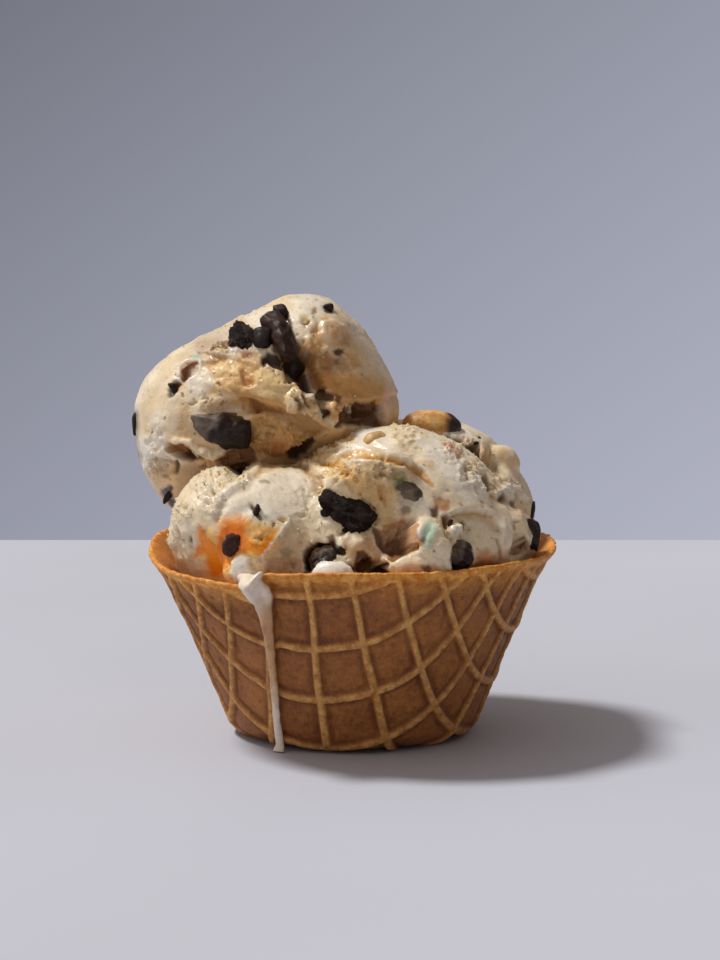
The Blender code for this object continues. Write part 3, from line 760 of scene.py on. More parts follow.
BACK = Scoop(
    centre=(18.0, 18.0, 48.0),
    lobes=(
        ((18.0, 18.0, 48.0), (28.8, 27.5, 28.8), (0, 0, 0)),
        ((-12.0, 26.0, 44.0), (20.0, 16.0, 14.0), (0, 0, 0)),
    ),
    hollows=(((38.0, 4.0, 70.0), (3.0, 12.0, 7.0), (0, 35, 0)),),
    finer=(
        Lobe("cut", 474, 455, 0.4, (1.6, 4.0, 3.6), -20, 0.8),
        Lobe("add", 503, 462, 0.4, (4.6, 4.0, 4.4), -30, 1.6),
    ),
    pole=(0.1, 0.75, 0.65), columns=330, rows=140)


def turned_axes(turn):
    """The three axes of a lobe as rows, turned about X, then Y, then Z."""
    x, y, z = np.radians(turn)
    about_x = np.array([[1, 0, 0], [0, np.cos(x), -np.sin(x)], [0, np.sin(x), np.cos(x)]])
    about_y = np.array([[np.cos(y), 0, np.sin(y)], [0, 1, 0], [-np.sin(y), 0, np.cos(y)]])
    about_z = np.array([[np.cos(z), -np.sin(z), 0], [np.sin(z), np.cos(z), 0], [0, 0, 1]])
    return (about_z @ about_y @ about_x).T


def ellipsoid_distance(points, centre, radii, turn):
    """About how far each point is outside an ellipsoid: scaled length, less one, over the slope of that."""
    local = (points - np.array(centre)) @ turned_axes(turn).T
    scaled = np.linalg.norm(local / np.array(radii), axis=-1)
    slope = np.linalg.norm(local / np.array(radii) ** 2, axis=-1)
    return scaled * (scaled - 1.0) / np.maximum(slope, 1e-6)


def smooth_min(a, b, width):
    """The smaller of two distances, rounded off where they come within that width of each other."""
    share = np.clip(0.5 + 0.5 * (b - a) / width, 0.0, 1.0)
    return b + (a - b) * share - width * share * (1.0 - share)


def outside_cavity(points):
    """How far each point is outside the room that the bowl leaves for ice cream."""
    wall_radius, wall_height = beside_profile(FOOT_RADIUS + HEEL_LENGTH, -SHELL_THICKNESS - CLEARANCE)
    radius = np.hypot(points[..., 0], points[..., 1])
    above = points[..., 2] - wall_height
    past_wall = (radius - wall_radius) * math.sin(WALL_RISE) - above * math.cos(WALL_RISE)
    under_floor = RIB_HEIGHT + SHELL_THICKNESS + CLEARANCE - points[..., 2]
    return -smooth_min(-past_wall, -under_floor, BOTTOM_BLEND)


def rough_distance(points, scoop):
    """How far outside the scoop's rough form: its lobes blended, its hollows out, kept in the bowl."""
    distance = np.full(points.shape[:-1], 1e3)
    for lobe in scoop.lobes:
        distance = smooth_min(distance, ellipsoid_distance(points, *lobe), BLEND)
    for hollow in scoop.hollows:
        distance = -smooth_min(-distance, ellipsoid_distance(points, *hollow), HOLLOW_BLEND)
    return np.maximum(distance, outside_cavity(points))


def seen(scoop, px, py):
    """The scoop's rough form at a picture point: steps along the sight line by a share of what is left."""
    way = sight_line(px, py)
    walk, nearest, best = SIGHT_START, math.inf, SIGHT_START
    for _ in range(SIGHT_STEPS):
        left = float(rough_distance((EYE + way * walk)[None, :], scoop)[0])
        if left < nearest:
            nearest, best = left, walk
        if left < NEAR_ENOUGH or walk > SIGHT_END:
            break
        walk += max(SIGHT_SHARE * left, NEAR_ENOUGH)
    return EYE + way * best


def placed_finer(scoop):
    """Each finer lobe with its centre in space: its picture point on the scoop, moved towards the eye."""
    made = []
    for lobe in scoop.finer:
        nearer = lobe.out - SUNK_SHARE * lobe.half[1]
        centre = seen(scoop, lobe.px, lobe.py) - sight_line(lobe.px, lobe.py) * nearer
        made.append((lobe.sort, centre, lobe.half, (0, -lobe.lean, 0), lobe.blend))
    return made


def fine_distance(points, scoop, finer):
    """How far outside the scoop with its finer lobes and caves, each blended by its own width."""
    distance = rough_distance(points, scoop)
    for sort, centre, half, turn, blend in finer:
        other = ellipsoid_distance(points, centre, half, turn)
        if sort == "add":
            distance = smooth_min(distance, other, blend)
        else:
            distance = -smooth_min(-distance, other, blend)
    return distance


def ball_ways(scoop):
    """Unit ways on a grid round the scoop's pole: columns crowd to the front, rows to the middle."""
    pole = np.array(scoop.pole) / np.linalg.norm(scoop.pole)
    front = np.array([0.0, -1.0, 0.0]) + pole * pole[1]
    front /= np.linalg.norm(front)
    side = np.cross(pole, front)
    turn = np.arange(scoop.columns) * 2 * math.pi / scoop.columns
    turn = turn - COLUMN_CROWD * np.sin(turn)
    fall = np.linspace(0.0, math.pi, scoop.rows + 2)[1:-1]
    fall = fall + ROW_CROWD * np.sin(2 * fall)
    fall, turn = (grid.ravel()[:, None] for grid in np.meshgrid(fall, turn, indexing="ij"))
    ways = pole * np.cos(fall) + np.sin(fall) * (front * np.cos(turn) + side * np.sin(turn))
    return np.concatenate([ways, pole[None, :], -pole[None, :]])


def scoop_points(scoop):
    """The scoop's outermost surface along each way: steps inwards by a share of the distance left."""
    ways, finer = ball_ways(scoop), placed_finer(scoop)
    centre = np.array(scoop.centre)
    reach = np.full(len(ways), REACH)
    for _ in range(TRACE_STEPS):
        left = fine_distance(centre + ways * reach[:, None], scoop, finer)
        reach = np.maximum(reach - TRACE_SHARE * left, LEAST_REACH)
    return centre + ways * reach[:, None]


print("front scoop seen at its middle:", seen(FRONT, 330, 500).round(1))

# %% [markdown]
# Marks on the cream, given in picture points and laid on the scoop's surface. An area is a closed
# outline and a line is a run of points with a width: each presses the cream in or raises it by a height,
# and stains it. A stain without a height has a wide soft edge, like syrup that has soaked in. Some areas
# are painted shade, not stains: dark gaps between lobes, shade under folds, lips and chunks, and the
# shade low on lobes; a few are painted light: white where a shadow falls, and a highlight. A ledge is a
# line whose upper side stands out over its lower side, like a fold, with painted shade in caramel under
# it. A torn spot is a point and a radius round which the cream is crumbly.

# %% Marks
Area = namedtuple("Area", "corners height stain strength soft")
Line = namedtuple("Line", "points half height stain strength soft")
PRESSED_SOFT, SOAKED_SOFT = 1.4, 4.0

STAINS = {
    "cream": shade(238, 222, 190),
    "white": shade(248, 243, 231),
    "butter": shade(234, 200, 136),
    "caramel": shade(206, 150, 74),
    "honey": shade(218, 160, 62),
    "amber": shade(186, 112, 44),
    "rust": shade(226, 100, 0),
    "yolk": shade(255, 192, 66),
    "orange": shade(255, 150, 0),
    "tan": shade(184, 150, 108),
    "sienna": shade(150, 84, 40),
    "toffee": shade(122, 72, 36),
    "bark": shade(92, 50, 30),
    "umber": shade(56, 32, 22),
    "black": shade(24, 17, 17),
    "plum": shade(62, 35, 35),
    "blush": shade(232, 200, 180),
    "rose": shade(208, 108, 90),
    "teal": shade(134, 196, 176),
    "green": shade(70, 112, 58),
    "moss": shade(152, 142, 98),
    "grey": shade(170, 156, 136),
}


def area(height, stain, strength, *numbers, soft=None):
    """A closed outline of picture points, two numbers at a time, with its height in mm and its stain."""
    soft = soft or (PRESSED_SOFT if height else SOAKED_SOFT)
    return Area(np.reshape(numbers, (-1, 2)).astype(float), height, stain, strength, soft)


def line(half, height, stain, strength, *numbers, soft=0.5):
    """A run of picture points, given two numbers at a time, with its half width and height in mm."""
    return Line(np.reshape(numbers, (-1, 2)).astype(float), half, height, stain, strength, soft)


def projected(points):
    """Picture points: the middle, plus the focal length times right and down over the way ahead."""
    away = points - EYE
    depth = away @ AHEAD
    to_right, to_top = FOCAL * (away @ RIGHT) / depth, FOCAL * (away @ UP) / depth
    return np.stack([PICTURE[0] / 2 + to_right, PICTURE[1] / 2 - to_top], -1)


def picture_gap(place, corners, closed=False):
    """(distance, distance below) in picture points from each place to the nearest straight piece."""
    gap, below = np.full(len(place), 1e9), np.zeros(len(place))
    starts = corners if closed or len(corners) == 1 else corners[:-1]
    ends = np.roll(corners, -1, 0) if closed or len(corners) == 1 else corners[1:]
    for start, end in zip(starts, ends):
        step = end - start
        share = np.clip((place - start) @ step / max(step @ step, 1e-9), 0.0, 1.0)
        away = place - start - share[:, None] * step
        length = np.hypot(away[:, 0], away[:, 1])
        side = (step[0] * away[:, 1] - step[1] * away[:, 0]) / max(np.hypot(*step), 1e-9)
        closer = length < gap
        gap, below = np.where(closer, length, gap), np.where(closer, side, below)
    return gap, below


def inside_outline(place, corners):
    """True inside a closed outline: a level ray to the right crosses it an odd number of times."""
    odd = np.zeros(len(place), bool)
    for (ax, ay), (bx, by) in zip(corners, np.roll(corners, -1, 0)):
        crosses = (ay > place[:, 1]) != (by > place[:, 1])
        odd ^= crosses & (place[:, 0] < ax + (place[:, 1] - ay) / ((by - ay) or 1e-9) * (bx - ax))
    return odd


FRONT_AREAS = (
    area(0.0, "yolk", 0.75, 193, 528, 204, 520, 216, 534, 226, 522, 244, 520, 262, 524, 280, 528, 280, 546,
         266, 560, 246, 556, 236, 562, 226, 582, 206, 580, 202, 560, 192, 552, soft=5.0),
    # Painted light: plain light cream on the steep lower left of the lobe.
    area(0.0, "cream", 0.9, 172, 520, 186, 504, 200, 512, 206, 530, 200, 548, 186, 566, 174, 556),
    area(0.0, "butter", 0.7, 300, 458, 326, 450, 350, 464, 380, 462, 405, 470, 412, 484, 398, 500, 384, 508,
         366, 496, 346, 486, 322, 474),
    area(0.0, "honey", 0.35, 336, 466, 360, 468, 376, 482, 388, 500, 376, 506, 360, 492, 344, 482),
    area(0.0, "bark", 0.6, 384, 540, 396, 532, 410, 536, 416, 548, 402, 558, 390, 560),
    area(0.0, "white", 0.7, 216, 512, 218, 500, 214, 490, 236, 484, 262, 474, 300, 472, 312, 494, 300, 516,
         270, 520, 240, 512, 214, 516, 200, 530, 184, 546),
    # Painted light: white on the crest, where the top scoop's shadow falls.
    area(0.0, "white", 0.8, 330, 430, 350, 420, 372, 423, 384, 436, 368, 446, 345, 446),
    area(0.0, "white", 0.5, 420, 440, 450, 444, 476, 470, 490, 500, 470, 504, 446, 480, 426, 460),
    area(0.0, "amber", 0.85, 221, 531, 226, 521, 236, 519, 247, 523, 248, 533, 238, 538, 228, 538),
    area(0.0, "butter", 0.5, 340, 500, 362, 496, 392, 506, 400, 524, 384, 532, 356, 530),
    area(0.4, "cream", 0.6, 172, 518, 182, 500, 196, 496, 206, 510, 200, 528, 196, 550, 186, 566, 176, 560,
         172, 540),
    area(0.3, "cream", 0.4, 184, 520, 188, 500, 200, 486, 214, 476, 232, 482, 250, 480, 275, 470, 300, 470,
         310, 490, 302, 512, 286, 522, 262, 500, 240, 508, 222, 520, 206, 522, 196, 540, 184, 545),
    area(-0.2, "orange", 0.8, 217, 547, 220, 537, 225, 529, 231, 524, 237, 525, 242, 532, 243, 541, 240,
         550, 233, 558, 226, 558, 219, 554),
    area(-0.2, "orange", 0.95, 197, 534, 200, 524, 203, 529, 207, 537, 213, 541, 217, 548, 222, 556, 232,
         559, 228, 566, 222, 570, 219, 577, 212, 577, 208, 566, 206, 556, 200, 553, 196, 558, 195, 552, 199,
         544),
    area(0.0, "caramel", 0.7, 244, 531, 255, 527, 267, 528, 274, 526, 276, 537, 268, 543, 258, 539, 248,
         538),
    area(0.1, "orange", 0.9, 239, 549, 243, 541, 249, 538, 253, 541, 259, 545, 263, 540, 270, 536, 274, 531,
         274, 541, 271, 549, 264, 556, 257, 556, 250, 552, 244, 553),
    area(0.3, "cream", 0.6, 196, 562, 202, 557, 206, 559, 208, 567, 210, 573, 200, 571, 196, 567),
    area(0.0, "orange", 0.6, 216, 524, 226, 516, 240, 514, 250, 520, 246, 530, 238, 524, 226, 526, 218,
         532),
    # Painted shade: tan and toffee under the overhang, darker towards the bottom.
    area(-0.2, "tan", 0.4, 284, 530, 300, 520, 311, 532, 310, 548, 304, 562, 300, 578, 268, 578, 264, 568,
         271, 556, 279, 546),
    area(-0.4, "toffee", 0.3, 270, 560, 282, 556, 296, 558, 306, 560, 302, 579, 264, 579, 266, 570),
    area(-0.3, "moss", 0.6, 280, 549, 288, 547, 295, 551, 292, 557, 284, 557),
    area(-1.1, "honey", 0.95, 320, 462, 334, 460, 342, 455, 352, 449, 360, 448, 372, 452, 384, 454, 396,
         457, 408, 462, 404, 465, 392, 462, 378, 459, 366, 457, 352, 457, 340, 459, 336, 466, 330, 467, 322,
         465),
    area(-0.8, "caramel", 0.85, 404, 462, 416, 465, 424, 471, 431, 479, 435, 488, 429, 486, 422, 478, 413,
         470),
    area(-0.5, "honey", 0.75, 336, 462, 344, 461, 348, 466, 350, 475, 345, 479, 340, 473, 336, 470),
    area(-0.1, "butter", 0.8, 341, 436, 348, 432, 354, 435, 356, 441, 350, 442, 344, 441),
    area(0.0, "butter", 0.8, 415, 462, 426, 460, 437, 463, 434, 469, 424, 468),
    area(0.0, "tan", 0.55, 352, 462, 372, 461, 392, 464, 406, 472, 408, 480, 396, 484, 380, 478, 364, 470),
    area(-0.5, "moss", 0.7, 389, 476, 396, 471, 405, 473, 408, 480, 398, 482),
    area(-0.4, "green", 0.85, 394, 483, 399, 480, 405, 479, 405, 483, 401, 487, 397, 490, 395, 486),
    area(0.0, "butter", 0.5, 352, 470, 366, 474, 378, 486, 392, 492, 396, 508, 388, 524, 378, 520, 372, 506,
         360, 494, 350, 484),
    area(-0.3, "amber", 0.5, 376, 487, 384, 485, 387, 493, 384, 501, 378, 499),
    area(0.2, "grey", 0.6, 398, 492, 404, 488, 412, 498, 414, 506, 404, 508, 397, 502),
    area(-0.5, "umber", 0.7, 399, 509, 404, 506, 411, 507, 409, 513, 403, 515),
    area(-0.3, "amber", 0.6, 372, 527, 380, 531, 388, 525, 396, 519, 404, 519, 416, 522, 420, 528, 418, 535,
         422, 545, 415, 551, 406, 555, 400, 559, 394, 563, 388, 559, 384, 553, 376, 547, 373, 538),
    area(-0.7, "bark", 0.7, 384, 546, 392, 540, 404, 542, 412, 550, 404, 555, 398, 561, 390, 560),
    area(-0.5, "plum", 0.75, 372, 526, 378, 530, 384, 542, 386, 552, 377, 546),
    area(0.8, "white", 0.75, 416, 530, 420, 526, 425, 530, 424, 538, 418, 539),
    area(-0.6, "black", 0.85, 419, 541, 424, 534, 426, 546, 422, 547),
    area(0.8, "cream", 0.9, 421, 548, 426, 540, 431, 530, 434, 522, 441, 526, 446, 532, 450, 540, 452, 550,
         452, 562, 451, 579, 390, 579, 386, 570, 388, 565, 394, 561, 402, 557, 410, 554, 416, 551),
    area(0.0, "teal", 0.75, 424, 526, 428, 520, 433, 522, 436, 528, 432, 537, 430, 546, 426, 548, 424, 541),
    area(0.0, "amber", 0.75, 401, 567, 412, 562, 422, 564, 438, 566, 449, 569, 451, 579, 401, 579),
    area(-0.2, "bark", 0.85, 421, 567, 427, 565, 432, 570, 428, 575, 422, 573),
    area(-1.5, "black", 0.9, 452, 548, 458, 545, 468, 545, 471, 551, 466, 558, 464, 566, 469, 573, 470, 578,
         452, 578, 453, 566, 451, 556),
    area(-0.3, "sienna", 0.7, 466, 566, 480, 562, 498, 563, 500, 572, 484, 577, 468, 578),
    # Painted shade: warm amber low on the right front.
    area(0.0, "amber", 0.7, 474, 553, 486, 550, 494, 556, 492, 566, 478, 564),
    area(-0.2, "amber", 0.7, 434, 500, 441, 496, 449, 500, 451, 508, 446, 512, 440, 510, 434, 508),
    area(-0.7, "bark", 0.85, 431, 509, 437, 507, 440, 512, 438, 517, 432, 516),
    area(-1.1, "bark", 0.9, 441, 515, 446, 514, 450, 520, 449, 528, 445, 529, 443, 521),
    area(-0.4, "caramel", 0.6, 436, 517, 443, 519, 448, 530, 452, 534, 446, 536, 440, 528),
    area(1.0, "white", 0.8, 449, 531, 452, 525, 457, 524, 461, 528, 462, 534, 456, 537, 450, 536),
    area(-0.9, "bark", 0.85, 460, 522, 464, 521, 467, 528, 463, 531),
    area(0.0, "rose", 0.8, 444, 443, 450, 443, 456, 449, 463, 454, 460, 458, 452, 453, 446, 449),
    area(-1.3, "bark", 0.8, 481, 474, 486, 474, 490, 482, 494, 491, 488, 490, 484, 487, 482, 481),
    area(0.7, "white", 0.7, 497, 492, 504, 484, 514, 482, 524, 490, 530, 500, 520, 499, 508, 494),
    area(-1.0, "black", 0.95, 500, 495, 503, 493, 507, 498, 505, 501, 501, 500),
    area(-1.0, "black", 0.95, 510, 500, 518, 499, 526, 503, 529, 508, 522, 507, 514, 506),
    area(0.0, "plum", 0.9, 530, 500, 534, 502, 536, 512, 535, 521, 532, 520, 532, 510),
    area(-1.4, "toffee", 0.75, 520, 533, 526, 538, 530, 545, 528, 551, 518, 553, 508, 554, 514, 547, 517,
         540),
    area(-0.9, "umber", 0.85, 533, 556, 540, 551, 548, 557, 541, 561, 534, 561),
    area(0.5, "white", 0.4, 420, 436, 440, 442, 462, 458, 480, 474, 492, 493, 480, 492, 466, 476, 446, 460,
         424, 448, 410, 440),
    # Painted shade: black in the gap between the lobe and the white dome, round the lower chocolate.
    area(-1.6, "black", 0.9, 308, 562, 313, 556, 319, 548, 327, 544, 334, 541, 337, 549, 345, 547, 344, 554,
         336, 555, 328, 562, 318, 564, 312, 572, 311, 579, 300, 579, 304, 570),
    area(0.3, "grey", 0.7, 329, 557, 337, 554, 346, 556, 352, 561, 348, 564, 336, 563),
    area(0.1, "bark", 0.75, 327, 537, 333, 534, 337, 541, 336, 548, 330, 546),
    area(0.9, "white", 0.95, 311, 579, 313, 569, 318, 564, 330, 562, 342, 564, 350, 568, 356, 574, 358,
         580),
    area(0.3, "tan", 0.45, 343, 538, 348, 532, 356, 530, 366, 531, 372, 538, 375, 547, 382, 553, 391, 555,
         391, 561, 382, 563, 372, 560, 368, 554, 362, 551, 356, 553, 352, 561, 346, 556, 345, 548),
    area(0.2, "cream", 0.6, 344, 538, 350, 532, 360, 531, 364, 538, 358, 546, 348, 547),
    area(-1.2, "bark", 0.85, 354, 563, 357, 553, 363, 550, 368, 553, 372, 561, 371, 570, 363, 574, 356,
         570),
    # Painted shade: black in the gap beside the white dome, down to the rim.
    area(-1.4, "black", 0.97, 346, 564, 354, 565, 358, 572, 364, 576, 372, 569, 380, 563, 386, 563, 386,
         570, 390, 579, 358, 579, 352, 571),
    # Painted shade: a toffee line under the cookie.
    area(-0.7, "toffee", 0.8, 338, 535, 342, 530, 350, 527, 360, 528, 370, 527, 368, 531, 356, 531, 346,
         533),
    # Painted shade: tan beside the cookie's left side.
    area(0.0, "tan", 0.65, 313, 478, 320, 475, 322, 484, 320, 495, 316, 497, 313, 488),
    area(0.6, "white", 0.85, 230, 572, 233, 561, 240, 555, 248, 556, 250, 566, 262, 579, 262, 586, 236,
         584),
    area(0.0, "rust", 0.75, 218, 532, 228, 525, 241, 527, 247, 538, 243, 552, 232, 560, 222, 556, 217, 545,
         soft=4.0),
)
FRONT_LINES = (
    line(0.55, -0.5, "plum", 0.95, 253, 506, 256, 511, 258, 515),
    line(0.8, -0.2, "plum", 0.95, 256, 515, 259, 519), line(0.35, -0.4, "bark", 0.85, 274, 522, 274, 526),
    line(0.6, -0.3, "caramel", 0.7, 279, 518, 284, 520), line(0.3, -0.3, "toffee", 0.8, 283, 521),
    line(0.35, -0.4, "umber", 0.9, 192, 538, 192, 541), line(0.7, 0.0, "moss", 0.7, 262, 482, 267, 483),
    line(0.5, 0.0, "moss", 0.7, 214, 491), line(1.1, 0.0, "butter", 0.8, 222, 485),
    line(0.4, 0.0, "moss", 0.5, 234, 489), line(0.4, 0.0, "toffee", 0.5, 275, 475),
    line(0.7, 0.0, "moss", 0.4, 258, 517, 266, 516),
    line(0.5, -0.4, "tan", 0.8, 284, 466, 294, 465, 304, 468, 313, 475, 322, 478),
    line(0.45, -0.3, "toffee", 0.6, 366, 458, 372, 458),
    line(0.6, -0.4, "caramel", 0.8, 329, 447, 335, 444), line(0.7, -0.4, "honey", 0.75, 318, 455, 324, 453),
    line(1.0, -0.4, "caramel", 0.6, 302, 459, 310, 457), line(0.6, -0.3, "butter", 0.8, 306, 453, 314, 448),
    line(0.5, -0.4, "toffee", 0.5, 299, 464, 306, 467), line(0.8, -0.4, "honey", 0.65, 352, 476, 357, 482),
    line(0.6, -0.3, "caramel", 0.6, 348, 484, 353, 492),
    line(0.5, -0.3, "caramel", 0.55, 360, 494, 362, 500), line(0.5, -0.3, "amber", 0.5, 371, 504, 374, 510),
    line(0.3, 0.0, "umber", 0.9, 434, 550), line(0.3, -0.2, "umber", 0.5, 498, 528, 497, 532),
    line(0.5, -0.2, "tan", 0.5, 404, 446, 408, 450), line(0.4, -0.2, "moss", 0.5, 384, 476, 390, 478),
    line(0.35, -0.2, "toffee", 0.5, 436, 450), line(0.3, -0.2, "toffee", 0.5, 446, 462),
    line(0.7, -0.5, "tan", 0.6, 466, 468, 472, 470),
    line(0.4, 0.4, "white", 0.8, 262, 560, 268, 550, 276, 540, 284, 528, 290, 520),
    line(0.5, -0.4, "tan", 0.5, 452, 516, 468, 512, 486, 514),
    line(0.4, 0.3, "blush", 0.5, 517, 512, 520, 524, 519, 532),
    line(0.4, -0.4, "toffee", 0.45, 508, 508, 514, 516, 515, 530),
    line(0.4, -0.3, "toffee", 0.4, 496, 540, 500, 550, 500, 560),
    line(0.5, 0.3, "blush", 0.4, 503, 520, 505, 540, 503, 556),
)
FRONT_LEDGES = (
    (12, 0.8, 250, 478, 262, 463, 285, 458, 303, 463, 318, 473, 322, 487),
    (13, 0.5, 331, 438, 345, 431, 362, 434, 380, 448, 402, 458, 420, 469),
    (10, 0.7, 344, 548, 352, 535, 366, 534, 374, 546),
    (11, 0.9, 496, 495, 510, 499, 528, 507),
    (10, 0.6, 176, 546, 186, 536, 200, 530),
    (12, 0.6, 450, 516, 470, 511, 492, 516, 500, 530),
    (10, 0.7, 216, 515, 222, 500, 234, 490, 246, 486),
)
FRONT_TORN = (
    (396, 535, 6.0), (410, 545, 4.0), (288, 567, 3.5), (378, 505, 9.0), (345, 470, 5.0), (395, 488, 5.0),
    (382, 470, 5.0), (384, 530, 3.0), (330, 450, 5.0), (312, 458, 4.0), (456, 530, 3.5), (466, 534, 2.5),
    (452, 450, 4.0), (470, 470, 4.0), (486, 488, 3.5), (205, 484, 5.0), (222, 476, 4.0), (183, 510, 4.0),
    (178, 540, 4.0), (188, 552, 3.0), (350, 428, 4.0), (405, 432, 4.0), (210, 500, 4.0), (240, 478, 3.0),
    (258, 542, 2.5),
)

